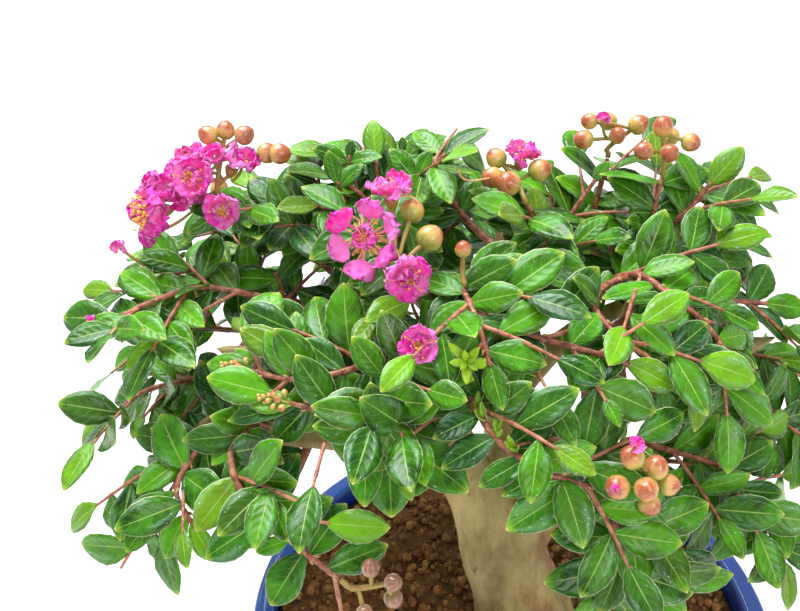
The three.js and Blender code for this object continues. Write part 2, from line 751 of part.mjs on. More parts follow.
// A leaf arches along its length; a large one is also folded along its midrib
function leafSolid(leaf, extra = 0) {
  const { point, along, normal, length, width, arch, fold } = leaf;
  const across = normal.clone().cross(along);
  const at = (share, side) => {
    const half = side === 0 ? 0 : (width / 2) * leafHalfWidth(share) + extra;
    return point.clone()
      .addScaledVector(along, length * share + (share === 1 ? extra : 0))
      .addScaledVector(normal, -arch * length * share * share + fold * half)
      .addScaledVector(across, side * half);
  };
  const sides = fold > 0 ? [-1, 0, 1] : [-1, 1];
  const rows = [[at(0, 0)], ...LEAF_STATIONS.map((s) => sides.map((side) => at(s, side))), [at(1, 0)]];
  const normals = [0, ...LEAF_STATIONS, 1].map((s) =>
    normal.clone().addScaledVector(along, 2 * arch * s).normalize());
  return blade(rows, normals, LEAF_THICKNESS + 2 * extra);
}

// Up to this many poses are tried for a leaf before it is left out
const LEAF_TRIES = 5;

// Besides the end leaves, a spray has about this many of its leaves here, spread over its stems
const LEAVES_A_SPRAY = 3;

function poseLeaf(leaf, attempt) {
  const random = draws(leaf.id + 7);
  const normal = facing(leaf.point, random, 0.7, LEAF_LEAN);
  const size = 0.78 + 0.32 * random();
  const spread = LEAF_SPREAD + 16 * (random() - 0.5);
  const along = heading(leaf, normal, spread, leaf.side);
  along.addScaledVector(UP, -0.12 * random());
  const turn = [0, 24, -24, 42, -42][attempt];
  along.normalize().applyAxisAngle(leaf.tangent, radians(turn));
  const flat = normal.clone().addScaledVector(along, -normal.dot(along)).normalize();
  const length = LEAF_LENGTH * size * (leaf.end ? 0.9 : 1);
  return {
    point: leaf.point,
    along,
    normal: flat,
    length,
    width: length * (LEAF_WIDTH_RATIO + 0.08 * (random() - 0.5)),
    arch: 0.08 + 0.14 * random(),
    fold: 0,
  };
}

// A large leaf lies at its own bearing; it is tipped up or down to clear its neighbours
function poseLargeLeaf(leaf, attempt) {
  const normal = domeNormal(leaf.point).multiplyScalar(0.6).addScaledVector(UP, 0.4).normalize();
  const along = leaf.tangent.clone().addScaledVector(normal, -leaf.tangent.dot(normal)).normalize();
  along.applyAxisAngle(normal, radians(leaf.bearing));
  const across = normal.clone().cross(along);
  const tip = radians([0, 14, -14, 28, -28][attempt]);
  along.applyAxisAngle(across, tip);
  normal.applyAxisAngle(across, tip);
  const { point, length, ratio } = leaf;
  return { point, along, normal, length, width: length * ratio, arch: 0.1, fold: 0 };
}

// Shoots stand off the main stem at its leaf nodes
const SHOOT_TRIES = 4;

function poseShoot(shoot, attempt) {
  const random = draws(shoot.id + 3);
  const normal = facing(shoot.point, random, 0.5);
  const along = heading(shoot, normal, SHOOT_SPREAD + 12 * (random() - 0.5), shoot.side);
  along.applyAxisAngle(shoot.tangent, radians([0, 28, -28, 50][attempt])).normalize();
  const length = SHOOT_LENGTH * (0.75 + 0.4 * random()) * (1.1 - 0.35 * shoot.share);
  const end = shoot.point.clone().addScaledVector(along, length).addScaledVector(UP, -0.06 * length);
  return { start: shoot.point, end, length: shoot.point.distanceTo(end), along };
}

function shootLeaves(shoot, posed) {
  const tangent = posed.end.clone().sub(posed.start).normalize();
  const leaves = [];
  for (let i = 0; 7 + i * SHOOT_PITCH < posed.length - 4; i += 1) {
    const point = posed.start.clone().addScaledVector(tangent, 7 + i * SHOOT_PITCH);
    for (const side of [1, -1]) {
      leaves.push({ point, tangent, id: shoot.id * 16 + i * 2 + side + 1, side, end: false });
    }
  }
  const point = posed.end.clone().addScaledVector(tangent, -1.5);
  leaves.push({ point, tangent, id: shoot.id * 16 + 15, side: 0, end: true });
  return leaves;
}

// Placing pieces clear of one another

const placed = [];

function remember(node, kind, solid) {
  placed.push({ node, kind, solid, box: solid.boundingBox() });
}

function boxesMeet(a, b) {
  return [0, 1, 2].every((k) => a.min[k] <= b.max[k] && b.min[k] <= a.max[k]);
}

function isClear(node, test, own) {
  const box = test.boundingBox();
  for (const other of placed) {
    if (!boxesMeet(box, other.box)) continue;
    if (other.node === node && !own.includes(other.kind)) continue;
    const shared = test.intersect(other.solid);
    if (!shared.isEmpty() && shared.volume() > 0.02) return false;
  }
  return true;
}

// Flowers and buds

// A bud, on a pedicel along its axis
function budSolid(centre, axis, radius) {
  const line = [-1, -0.15, 0.9].map((s) => centre.clone().addScaledVector(axis, s * radius));
  return tube(line, [0.3, 1, 0.45].map((s) => s * radius), BUD_SIDES);
}

function stick(from, to, radius) {
  return tube([from, to], [radius, radius], 3);
}

// A petal stands on a claw and spreads into a waved limb; in a slender flower the claw is half its length
function petalSolid(bloom, index, lift, size, extra = 0) {
  const { centre, axis, side, other, radius, slender, seed } = bloom;
  const random = draws(seed + index);
  const angle = (2 * Math.PI * (index + 0.5)) / PETAL_COUNT + 0.1 * (random() - 0.5);
  const out = side.clone().multiplyScalar(Math.cos(angle)).addScaledVector(other, Math.sin(angle));
  const across = axis.clone().cross(out);
  const reach = radius * size * (0.92 + 0.16 * random());
  const wave = 0.16 * radius;
  const at = (r, h, w) => centre.clone()
    .addScaledVector(out, r * Math.cos(lift) - h * Math.sin(lift))
    .addScaledVector(axis, r * Math.sin(lift) + h * Math.cos(lift))
    .addScaledVector(across, w);
  const claw = 0.5 + extra;
  const half = (slender ? 0.3 : 0.42) * reach + extra;
  const neck = (slender ? 0.5 : 0.4) * reach;
  const rows = [
    [at(0.7, 0, 0)],
    [at(neck, 0.3, -claw), at(neck, 0.3, claw)],
    [at(0.74 * reach, 1 + wave, -half), at(0.78 * reach, 0.6 - wave, half)],
    [at(reach + extra, 0.6 + wave, 0)],
  ];
  const up = axis.clone().multiplyScalar(Math.cos(lift)).addScaledVector(out, -Math.sin(lift));
  return blade(rows, rows.map(() => up), PETAL_THICKNESS + 2 * extra);
}

// Lift in radians and size of a petal, tried in turn until it is clear of the rest
const PETAL_TRIES = [[0.35, 1], [0.75, 1], [0, 1], [1.05, 0.9], [0.55, 0.75], [1.2, 0.7]];

// The heart of a flower: its tuft of stamens, which holds the petals' claws
function coreSolid(centre, axis, radius, extra = 0) {
  const foot = centre.clone().addScaledVector(axis, -CORE_FOOT - extra);
  const top = centre.clone().addScaledVector(axis, 0.4 * radius);
  return tube([foot, top], [CORE_RADIUS + extra, CORE_RADIUS * 0.85 + extra], BUD_SIDES);
}

function makeBloom(node, { centre, axis, radius, slender, seed }) {
  const side = (Math.abs(axis.z) < 0.8 ? UP : RIGHT).clone().cross(axis).normalize();
  const other = axis.clone().cross(side);
  const bloom = { centre, axis, side, other, radius, slender, seed };
  const core = coreSolid(centre, axis, radius);
  const pieces = [core];
  remember(node, "core", core);
  for (let i = 0; i < PETAL_COUNT; i += 1) {
    for (const [lift, size] of PETAL_TRIES) {
      if (!isClear(node, petalSolid(bloom, i, lift, size, LEAF_CLEARANCE), [])) continue;
      const petal = petalSolid(bloom, i, lift, size);
      pieces.push(petal);
      remember(node, "petal", petal);
      break;
    }
  }
  return pieces;
}

// A bunch: its stalk bends at the hub and ends at the farthest bud or flower.
// The pedicels of the others leave it one after another, the nearest first, and keep clear of the flowers.
const FORK_SHIFTS = [0, 0.08, -0.08, 0.16, -0.16, 0.24, -0.24];

function layPedicels(node, { seat, way, hub, buds, blooms }) {
  const ends = [
    ...buds.map(({ centre, radius }) => ({ at: centre, radius })),
    ...blooms.map(({ centre, axis }) => ({
      at: centre.clone().addScaledVector(axis, -CORE_FOOT - GAP - CALYX_HEIGHT),
    })),
  ];
  const reaches = ends.map((end) => end.at.distanceTo(seat));
  const order = ends.map((_, i) => i).sort((i, j) => reaches[i] - reaches[j]);
  const last = ends[order.pop()];
  const line = [seat, seat.clone().addScaledVector(way, 1.5), hub, last.at];
  const total = lengthOf(line);
  last.from = hub;
  order.forEach((k, i) => {
    const share = 0.3 + (0.55 * i) / Math.max(1, order.length - 1);
    const { at } = ends[k];
    const places = FORK_SHIFTS.map((shift) => placeOn(line, total * (share + shift)).point);
    const clear = places.find((from) => isClear(node, stick(from, at, PEDICEL_RADIUS + GAP), []));
    ends[k].from = clear ?? places[0];
  });
  return { line, ends, last };
}

function makeBunch(node, bunch) {
  const { line, ends, last } = layPedicels(node, bunch);
  const pieces = [tube(line, [1.3, 1.3, 1.2, 1].map((s) => s * PEDICEL_RADIUS), 3)];
  for (const end of ends) {
    const { at, from, radius } = end;
    if (end !== last) pieces.push(stick(from, at, PEDICEL_RADIUS));
    if (radius) pieces.push(budSolid(at, at.clone().sub(from).normalize(), radius));
  }
  for (const { centre, axis } of bunch.blooms) {
    const top = centre.clone().addScaledVector(axis, -CORE_FOOT - GAP);
    const foot = top.clone().addScaledVector(axis, -CALYX_HEIGHT - 0.8);
    pieces.push(tube([foot, top], [PEDICEL_RADIUS * 1.2, CALYX_RADIUS], BUD_SIDES));
  }
  for (const piece of pieces) {
    remember(node, "stalk", piece);
  }
  return pieces;
}

// A bunch by rule: its buds stand in a ring round the hub and lean outwards
function ringOfBuds(hub, count, random) {
  return Array.from({ length: count }, (_, i) => {
    const angle = (2 * Math.PI * i) / count + random();
    const lean = new THREE.Vector3(Math.cos(angle), Math.sin(angle), 0.9);
    const way = domeNormal(hub).multiplyScalar(0.5).add(lean).normalize();
    return hub.clone().addScaledVector(way, RULE_BUNCH_RISE);
  });
}

function stemEnd(spray) {
  const [line] = stemLines(spray);
  return placeOn(line, lengthOf(line));
}

function layBunch(bunch, index) {
  const spray = sprays.find((one) => one.name === bunch.spray);
  const end = stemEnd(spray);
  const random = draws(500 + index);
  const way = bunch.beside ? UP : end.tangent;
  const seat = bunch.beside
    ? vector(bunch.beside).addScaledVector(UP, TWIG_RADIUS + GAP)
    : end.point.clone().addScaledVector(way, GAP);
  const byRule = bunch.hub === undefined;
  const ruled = end.point.clone().addScaledVector(end.tangent, 4).addScaledVector(UP, 4);
  const hub = byRule ? ruled : vector(bunch.hub);
  const centres = byRule ? ringOfBuds(hub, bunch.buds, random) : bunch.buds.map(vector);
  const full = BUD_RADIUS * (bunch.girth ?? 1);
  const buds = centres.map((centre) => ({ centre, radius: full * (0.85 + 0.2 * random()) }));
  const blooms = (bunch.blooms ?? []).map(([centre, axis, radius, slender], i) => (
    { centre: vector(centre), axis: vector(axis).normalize(), radius, slender, seed: 9000 + (index * 10 + i) * 10 }
  ));
  return { name: bunch.name, seat, way, hub, buds, blooms };
}

// Assembly

const group = new THREE.Group();

function addNode(name, solid, look) {
  const mesh = solid.getMesh();
  const geometry = new THREE.BufferGeometry();
  geometry.setAttribute("position", new THREE.BufferAttribute(new Float32Array(mesh.vertProperties), 3));
  geometry.setIndex(new THREE.BufferAttribute(new Uint32Array(mesh.triVerts), 1));
  geometry.computeVertexNormals();
  const [color, roughness] = COLOURS[look];
  const piece = new THREE.Mesh(geometry, new THREE.MeshStandardMaterial({ color, roughness, metalness: 0 }));
  piece.name = name;
  group.add(piece);
}

// Only the largest body of a union is kept: a scrap that nothing holds is dropped
function fuse(pieces) {
  const whole = wasm.Manifold.union(pieces);
  const bodies = whole.decompose();
  bodies.sort((a, b) => b.volume() - a.volume());
  return bodies[0];
}

const sprays = [...SPRAYS, ...ringSprays(), CREST_SPRAY];
for (const { spray, beside } of [...BUNCHES, ...LONE_BLOOMS]) {
  if (!beside) sprays.find(({ name }) => name === spray).carries = true;
}

const places = forkPoints();
const trunkPieces = [
  ...Object.keys(LIMBS).map((name) => makeLimb(name)),
  ...ROOTS.map((root) => makeRoot(root)),
  ...sprays.map((spray) => {
    const { point, tangent } = placeOn(stemLines(spray)[0], 0);
    return makeBranch(point, tangent, places);
  }),
];
for (const piece of trunkPieces) remember("trunk", "wood", piece);
const trunkRoom = wasm.Manifold.union([makeLimb("trunk", GAP), ...ROOTS.map((root) => makeRoot(root, GAP))]);

const wireLine = WIRE_ROUTE.map(vector);
const wireSolid = (grow) => tube(wireLine, wireLine.map(() => WIRE_RADIUS + grow), WIRE_SIDES);
const wire = wireSolid(0);
remember("tie_wire", "wire", wire);

addNode("pot", makePot(), "pot");
addNode("drain_mesh", makeDrainMesh(), "mesh");
addNode("soil", fuse([makeSoil().subtract(trunkRoom).subtract(wireSolid(GAP))]), "soil");
addNode("trunk", fuse(trunkPieces), "trunk");
addNode("tie_wire", wire, "wire");

const grown = sprays.map((spray, index) => {
  const node = `spray_${spray.name}`;
  const parts = growSpray(spray, index + 1);
  const pieces = parts.stems.map((points) => {
    const radii = points.map((_, i) => TWIG_RADIUS * (1 - (0.3 * i) / (points.length - 1)));
    const stem = tube(points, radii, 3);
    remember(node, "stem", stem);
    return stem;
  });
  return { node, parts, pieces };
});

const bunches = BUNCHES.map(layBunch);
for (const { name, blooms } of bunches) {
  blooms.forEach(({ centre, axis, radius }, i) => {
    remember(`bloom_${name}_${i + 1}`, "core", coreSolid(centre, axis, radius));
  });
}
for (const bunch of bunches) {
  addNode(`buds_${bunch.name}`, fuse(makeBunch(`buds_${bunch.name}`, bunch)), "bunch");
}
for (const { name, blooms } of bunches) {
  blooms.forEach((bloom, i) => {
    const node = `bloom_${name}_${i + 1}`;
    addNode(node, fuse(makeBloom(node, bloom)), "petals");
  });
}
LONE_BLOOMS.forEach(({ name, spray, facing: way, radius }, i) => {
  const node = `bloom_${name}`;
  const end = stemEnd(sprays.find((one) => one.name === spray));
  const axis = vector(way).normalize();
  const centre = end.point.clone();
  while (!isClear(node, coreSolid(centre, axis, radius, GAP), [])) centre.addScaledVector(end.tangent, 0.1);
  addNode(node, fuse(makeBloom(node, { centre, axis, radius, seed: 9900 + i * 10 })), "petals");
});

// A leaf takes the first of its poses that is clear of everything placed before it
function placeLeaf({ node, pieces }, leaf, pose) {
  for (let attempt = 0; attempt < LEAF_TRIES; attempt += 1) {
    const posed = pose(leaf, attempt);
    if (!isClear(node, leafSolid(posed, LEAF_CLEARANCE), [])) continue;
    const solid = leafSolid(posed);
    if (!isClear(node, solid, ["leaf"])) continue;
    pieces.push(solid);
    remember(node, "leaf", solid);
    return true;
  }
  return false;
}

// Large leaves come first, then shoots with their end leaves, then the rest, so that no spray is left bare
for (const spray of grown) {
  for (const leaf of spray.parts.large) placeLeaf(spray, leaf, poseLargeLeaf);
}
for (const { node, parts, pieces } of grown) {
  parts.shootLeaves = [];
  for (const shoot of parts.shoots) {
    for (let attempt = 0; attempt < SHOOT_TRIES; attempt += 1) {
      const posed = poseShoot(shoot, attempt);
      if (!isClear(node, stick(posed.start, posed.end, SHOOT_RADIUS + LEAF_CLEARANCE), ["shoot"])) continue;
      const solid = stick(posed.start, posed.end, SHOOT_RADIUS);
      pieces.push(solid);
      remember(node, "shoot", solid);
      parts.shootLeaves.push(...shootLeaves(shoot, posed));
      break;
    }
  }
}
const leavesOf = ({ parts }) => [...parts.leaves, ...parts.shootLeaves];
for (const spray of grown) {
  for (const leaf of leavesOf(spray)) {
    if (leaf.end) placeLeaf(spray, leaf, poseLeaf);
  }
}
for (const spray of grown) {
  const others = leavesOf(spray).filter((leaf) => !leaf.end);
  let left = LEAVES_A_SPRAY - spray.parts.large.length;
  const stride = Math.max(1, Math.round(others.length / LEAVES_A_SPRAY));
  for (let start = 0; start < stride; start += 1) {
    for (let i = start; i < others.length && left > 0; i += stride) {
      if (placeLeaf(spray, others[i], poseLeaf)) left -= 1;
    }
  }
}
for (const { node, pieces } of grown) addNode(node, fuse(pieces), "leaves");

export default group;
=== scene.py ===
import functools
import math
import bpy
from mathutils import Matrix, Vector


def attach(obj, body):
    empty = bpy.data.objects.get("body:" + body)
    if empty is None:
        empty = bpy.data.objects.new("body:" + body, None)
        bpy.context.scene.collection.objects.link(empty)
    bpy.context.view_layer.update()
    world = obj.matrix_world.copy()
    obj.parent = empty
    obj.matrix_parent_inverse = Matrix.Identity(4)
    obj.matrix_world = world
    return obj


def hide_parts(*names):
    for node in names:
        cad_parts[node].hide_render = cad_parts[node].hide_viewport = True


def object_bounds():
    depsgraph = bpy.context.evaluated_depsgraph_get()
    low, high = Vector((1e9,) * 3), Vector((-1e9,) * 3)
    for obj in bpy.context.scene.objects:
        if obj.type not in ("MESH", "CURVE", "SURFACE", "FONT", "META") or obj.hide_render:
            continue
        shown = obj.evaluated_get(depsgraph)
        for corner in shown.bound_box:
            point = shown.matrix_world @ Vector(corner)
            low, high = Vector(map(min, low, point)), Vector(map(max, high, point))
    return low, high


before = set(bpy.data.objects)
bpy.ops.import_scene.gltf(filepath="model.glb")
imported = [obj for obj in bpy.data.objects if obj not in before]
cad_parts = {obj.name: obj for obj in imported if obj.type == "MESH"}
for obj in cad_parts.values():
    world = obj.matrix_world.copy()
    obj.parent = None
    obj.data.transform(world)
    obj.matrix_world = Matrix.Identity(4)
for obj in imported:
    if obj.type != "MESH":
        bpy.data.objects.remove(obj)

from types import SimpleNamespace as Record

import bpy
import numpy as np

# Crape myrtle bonsai in a round glazed pot, dressed around its solids.
# Shapes are worked out in millimetres with the same rules as the solids, and written in metres.

MM = 0.001
CAD_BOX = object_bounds()

# Pot and soil, mm
RIM_RADIUS = 110
POT_HEIGHT = 80
WALL = 6
LIP_DROP = 9
LIP_OVERHANG = 3
FOOT_RADIUS = 78
FLOOR = 8
DRAIN_RADIUS = 6
DRAIN_RING = 38
DRAIN_COUNT = 3
GROOVE_WIDTH = 16
GROOVE_DEPTH = 3
SOIL_FOOT = 9.4
SOIL_LEVEL = 69
SOIL_CROWN = 3
SOIL_BUMP = 1.2
# Loose crumbs on the soil, and where the trunk leaves them no room: its place along X and how far round
CRUMB_COUNT = 2600
CRUMB_SEED = 31
TRUNK_PLACE = 7
TRUNK_CLEAR = 21

# Leaves, twigs, buds and petals, mm and degrees
GAP = 0.3
LEAF_LENGTH = 21
LEAF_THICKNESS = 0.45
LEAF_WIDTH_RATIO = 0.56
FIRST_LEAF = 6
LEAF_PITCH = 9
SHOOT_PITCH = 8.5
LEAF_SPREAD = 58
TWIG_RADIUS = 1.3
TWIG_STEP = 14
SHOOT_LENGTH = 30
SHOOT_SPREAD = 48
SHOOT_RADIUS = 1
BUD_RADIUS = 4.3
PETAL_COUNT = 6
CORE_FOOT = 0.6
CORE_RADIUS = 1.7
CALYX_HEIGHT = 3.2
BRANCH_END_RADIUS = 1.4
FIRST_SHOOT_LEAF = 7
BARE_SHOOT_END = 4

# What is tried in turn: a leaf's and a shoot's roll and a large leaf's tip in degrees, a petal's lift in
# radians and its size, and a fork's move along the stalk, as a share of it
LEAF_ROLLS = [0, 24, -24, 42, -42]
LARGE_LEAF_TIPS = [0, 14, -14, 28, -28]
SHOOT_ROLLS = [0, 28, -28, 50]
PETAL_TRIES = [[0.35, 1], [0.75, 1], [0, 1], [1.05, 0.9], [0.55, 0.75], [1.2, 0.7]]
FORK_SHIFTS = [0, 0.08, -0.08, 0.16, -0.16, 0.24, -0.24]

# A solid holds a point if one of its corners is this near. Added leaves keep this clear of the others, and
# those further apart than their reach aren't compared. All in mm.
HELD_WITHIN = 0.02
LEAF_CLEARANCE = 1.1
LEAF_REACH = 30

# Rows and columns of points on one face of a leaf or petal
LARGE_LEAF = (13, 7)
SMALL_LEAF = (9, 5)
TINY_LEAF = (7, 5)
PETAL_GRID = (22, 19)

# Where the seeds of each kind start. Leaves of sprays from FINE_SEED up have the large leaf's grid.
FINE_SEED = 500000
INNER_SEED = 800000
TIP_SEED = 70000
SPRIG_SEED = 72000
BUNCH_SEED = 500
BLOOM_SEED = 9000
TUFT_SEED = 9500
LONE_SEED = 9900
ROSETTE_SEED = 700
YOUNG_SEED = 760

# The golden angle, which spreads things evenly round a centre, in degrees and, rounded, in radians
GOLDEN_ANGLE = 137.508
GOLDEN_TURN = 2.4

# The crown of leaves is half of a flattened dome
DOME_CENTRE = np.array([-25.0, 32, 168])
DOME_HALF = np.array([138.0, 102, 98])

UP = np.array([0.0, 0, 1])
RIGHT = np.array([1.0, 0, 0])
LIGHT_WAY = np.array([0.0, -1, 0.3])
LEAF_LEAN = 0.5

LIMBS = {
    "trunk": [[8, 0, 46, 12], [8, 0, 61, 24], [7, 0, 72, 22], [3, 0, 90, 19], [-2, 0, 105, 18],
              [-6, 0, 120, 16.5], [-6, 1, 132, 9]],
    "left": [[-6, 0, 112, 15], [-14, 1, 140, 13], [-22, 2, 156, 11], [-30, 5, 175, 9], [-36, 8, 190, 6]],
    "right": [[-4, 1, 112, 14], [2, 2, 126, 13], [12, 4, 142, 11], [22, 8, 160, 9], [30, 14, 178, 6]],
    "back": [[-4, 4, 116, 13], [-4, 16, 154, 9.5], [-6, 30, 180, 7.5], [-5, 38, 205, 5], [-10, 35, 236, 3]],
    "left_far": [[-24, 3, 161, 7], [-48, 5, 186, 5.5], [-75, 5, 203, 4.2], [-104, 2, 213, 3]],
    "left_front": [[-17, 1, 146, 7], [-36, -8, 172, 5.2], [-58, -18, 189, 4.2], [-84, -26, 198, 3]],
    "left_up": [[-35, 8, 187, 5.5], [-45, 18, 210, 4.2], [-52, 26, 232, 3]],
    "front": [[-29, 5, 172, 6], [-36, -10, 192, 4.6], [-41, -20, 208, 3]],
    "right_far": [[20, 7, 157, 6.5], [40, 12, 181, 5.2], [60, 15, 198, 4], [82, 14, 208, 3]],
    "right_front": [[8, 3, 136, 7], [22, -8, 160, 5], [32, -20, 184, 3.2]],
    "right_up": [[30, 14, 176, 5.6], [36, 22, 200, 4.4], [42, 30, 224, 3]],
    "back_right": [[-5, 26, 172, 6], [20, 42, 192, 4.6], [50, 52, 204, 3.2]],
    "back_far": [[-6, 30, 178, 6], [-3, 56, 198, 4.4], [0, 80, 212, 3]],
    "back_left": [[-6, 28, 175, 6], [-28, 46, 196, 4.6], [-50, 62, 210, 3.2]],
}
# Surface roots: bearing in degrees from +X, length and start radius
ROOTS = [[200, 34, 9], [262, 30, 8], [318, 36, 9], [30, 32, 8], [110, 30, 8]]
WIRE_RADIUS = 0.8
WIRE_ROUTE = [
    [-72, 0, 60], [-64, -4, 74], [-48, -12, 87], [-30, -18, 91], [-12, -21, 91.5],
    [4, -21.8, 91], [20, -18, 90], [38, -9, 86], [54, 0, 74], [60, 4, 60],
]

# Sprays listed one by one: name, the routes of the main stem and its fork, and the large leaves on them.
# A leaf is [stem, distance along it, bearing from the stem in degrees, length, width over length].
SPRAYS = [
    ("low_left", [[[-96, -20, 200], [-103, -38, 198], [-92, -50, 190], [-79, -58, 181], [-66, -64, 173]]], [
        [0, 6, 18, 20, 0.42], [0, 40, 107, 22, 0.5], [0, 41, -104, 26, 0.5], [0, 46, 71, 20, 0.5],
        [0, 57, -86, 21, 0.6], [0, 59, 93, 20, 0.6], [0, 66, 61, 21, 0.5], [0, 51, -116, 13, 0.45]]),
    ("front_left", [[[-110, -18, 194], [-119, -30, 190], [-121, -40, 184], [-115, -46, 178]]], [
        [0, 17, -140, 22, 0.72], [0, 19, 68, 20, 0.75], [0, 25, -55, 23, 0.35]]),
    ("edge_left", [[[-118, -14, 192], [-129, -28, 186], [-130, -36, 178], [-127, -44, 169]]], [
        [0, 38, -88, 24, 0.5], [0, 27, 52, 13, 0.6], [0, 22, -77, 20, 0.6]]),
    ("mid_left", [[[-100, 20, 226], [-121, 20, 229], [-138, 9, 228], [-150, 0, 225]]], []),
    ("top_left", [[[-72, 48, 236], [-92, 46, 246], [-106, 40, 251]]], [[0, 30, 67, 23, 0.7]]),
    ("top_centre", [[[-36, 8, 240], [-42, 4, 250], [-49, 2, 255]]], []),
    ("shoulder_left", [
        [[-47, -20, 220], [-58, -28, 231], [-69, -33, 230], [-86, -31, 227], [-94, -28, 228]],
        [[-52, -24, 226], [-59, -34, 219], [-66, -40, 221], [-75, -40, 224], [-81, -38, 223]]], [
        [0, 36, -53, 26, 0.6], [0, 31, -90, 22, 0.62], [1, 10, 17, 19, 0.8], [1, 36, 20, 24, 0.3]]),
    ("front_centre", [[[-47, -25, 217], [-53, -32, 223], [-49, -34, 233], [-42, -34, 241]]], [
        [0, 24, 82, 19, 0.66], [0, 21, -72, 18, 0.55]]),
    ("front_inner", [[[-30, -30, 202], [-36, -42, 211], [-44, -46, 215], [-58, -49, 221]]], [
        [0, 33, 96, 24, 0.68], [0, 40, 92, 22, 0.5], [0, 29, 146, 26, 0.55], [0, 37, 125, 13, 0.6]]),
    ("front_right", [
        [[-24, -20, 212], [-25, -38, 225], [-21, -48, 221], [-5, -57, 213], [8, -58, 208], [18, -57, 204]],
        [[16, -57, 204], [20, -62, 189], [26, -62, 166]]], [
        [0, 60, 67, 26, 0.55], [0, 68, 36, 26, 0.5], [0, 66, -138, 26, 0.5], [0, 55, -131, 15, 0.5],
        [0, 48, -114, 16, 0.5], [0, 42, 70, 18, 0.55], [0, 37, -95, 19, 0.5], [0, 29, -95, 17, 0.5],
        [0, 24, -84, 15, 0.4], [1, 16, -119, 21, 0.5], [1, 19, 71, 26, 0.42], [1, 29, -107, 26, 0.5],
        [1, 31, 45, 27, 0.5], [1, 37, 37, 26, 0.5]]),
    ("centre_high", [
        [[-30, 12, 238], [-27, -12, 248], [-23, -27, 245], [-20, -39, 238]],
        [[-25, -20, 246.5], [-14, -25, 242], [2, -30, 240], [14, -33, 238], [23, -34, 235]]], [
        [0, 24, 116, 22, 0.6], [0, 32, 80, 22, 0.42], [0, 40, 68, 16, 0.4], [1, 20, 95, 21, 0.45],
        [1, 16, -52, 16, 0.75], [1, 33, 68, 18, 0.6], [0, 29, -138, 17, 0.6], [1, 43, -120, 16, 0.75]]),
    ("right_inner", [
        [[26, 14, 236], [34, 4, 244], [42, -10, 243], [52, -13, 236], [60, -16, 227]],
        [[31, 8, 241], [17, -6, 243], [17, -19, 241], [26, -30, 237], [34, -30, 232]]], [
        [1, 20, -92, 22, 0.45], [1, 15, -100, 20, 0.5], [0, 22, -92, 21, 0.35], [0, 37, -118, 24, 0.5],
        [0, 44, -98, 20, 0.7], [0, 31, -138, 17, 0.35], [1, 41, -68, 19, 0.75], [0, 26, 108, 22, 0.5]]),
    ("top_right", [
        [[46, 38, 228], [45, 37, 250], [47, 41, 263]],
        [[45, 37, 240], [57, 36, 252], [64, 38, 262]]], [[0, 33, 71, 22, 0.4]]),
    ("crown_front", [[[6, 34, 242], [2, 28, 250], [-2, 33, 256]]], [[0, 13, 164, 20, 0.5]]),
    ("crown_back", [[[26, 52, 240], [29, 56, 252], [31, 59, 262]]], [[0, 8, -20, 24, 0.5]]),
]
# One more spray stands along the crest of the crown and forks to both sides
CREST_SPRAY = ("crest", [
    [[-50, 40, 234], [-55, 50, 250], [-56, 58, 262]],
    [[-52, 45, 243], [-66, 52, 254], [-80, 58, 259]],
    [[-54, 48, 247], [-42, 52, 257], [-30, 54, 266]]], [])
# The other sprays follow the dome: elevation in degrees, the share of the way out where they start,
# and bearings from the front, for each ring
RINGS = [
    ("skirt", 4, 0.62, [44, 68, 94, 124, 156, 188, 220, 250, 276]),
    ("side", 36, 0.52, [72, 112, 152, 192, 232, 262]),
    ("crown", 66, 0.48, [110, 200]),
]
RING_BEND = 0.86

# Bunches: name, spray, hub, centres of the buds, and flowers as [heart, axis, radius]
BUNCHES = [
    ("top_left", "top_left", [-113, 40, 257],
     [[-116, 50, 275], [-110, 52, 276], [-103, 50, 275], [-95, 48, 269], [-90, 45, 270]],
     [[[-107, 44, 266], [0.4, 0.1, 0.9], 9], [[-119, 34, 265], [-0.1, -0.8, 0.6], 8.5],
      [[-110, 30, 256], [0.2, -0.9, 0.1], 7.5], [[-132, 32, 254], [-0.7, -0.6, 0.2], 11],
      [[-122, 45, 266], [-0.4, -0.1, 0.9], 8]]),
    ("top_centre", "top_centre", [-50, 2, 258], [[-43, 6, 267], [-37.5, -3, 262]],
     [[[-57, -4, 262.5], [-0.3, -0.85, 0.45], 14], [[-45, -17, 257], [0.1, -0.95, 0.1], 8.5],
      [[-50, 9, 271], [-0.1, 0.1, 1], 8.5]]),
    ("crown_front", "crown_front", [-5, 42, 261],
     [[-12, 48, 267], [-14, 40, 263], [-9, 33, 264], [3, 42, 265]],
     [[[-3, 47, 267], [0.2, -0.2, 0.95], 7.5]]),
    ("crown_back", "crown_back", [31, 60, 266],
     [[23, 61, 276], [21, 58, 270], [33, 57, 272], [41, 60, 275], [31, 66, 274]], []),
    ("top_right", "top_right", [47, 41, 267],
     [[45, 43, 281], [46, 34, 275], [38, 38, 274], [55, 41, 276], [50, 49, 275]], []),
    ("front_right", "front_right", [22, -57, 206],
     [[21, -58, 219], [17, -62, 211], [24.5, -65, 213], [29, -57, 214], [27, -63, 205], [33, -59, 209]],
     []),
    ("low_left", "low_left", [-61, -66, 171],
     [[-56, -68, 183], [-49, -72, 181], [-49, -70, 171], [-58, -73, 168]], []),
    ("centre", "centre_high", [-27, -8, 252], [[-27, -6, 259.5]], []),
    ("rear", "side_192", None, 3, []),
    ("rear_left", "side_232", None, 3, []),
    ("rear_right", "side_112", None, 3, []),
]
# The girth of their buds as a share of full size
BUNCH_GIRTH = {
    "top_left": 0.88, "crown_back": 0.85, "top_right": 0.85, "front_right": 0.88, "low_left": 0.72,
    "centre": 0.68,
}
# One bunch starts beside its spray's fork instead of at the end of its stem
BUNCH_BESIDE = {"centre": [-26.5, -11, 247]}
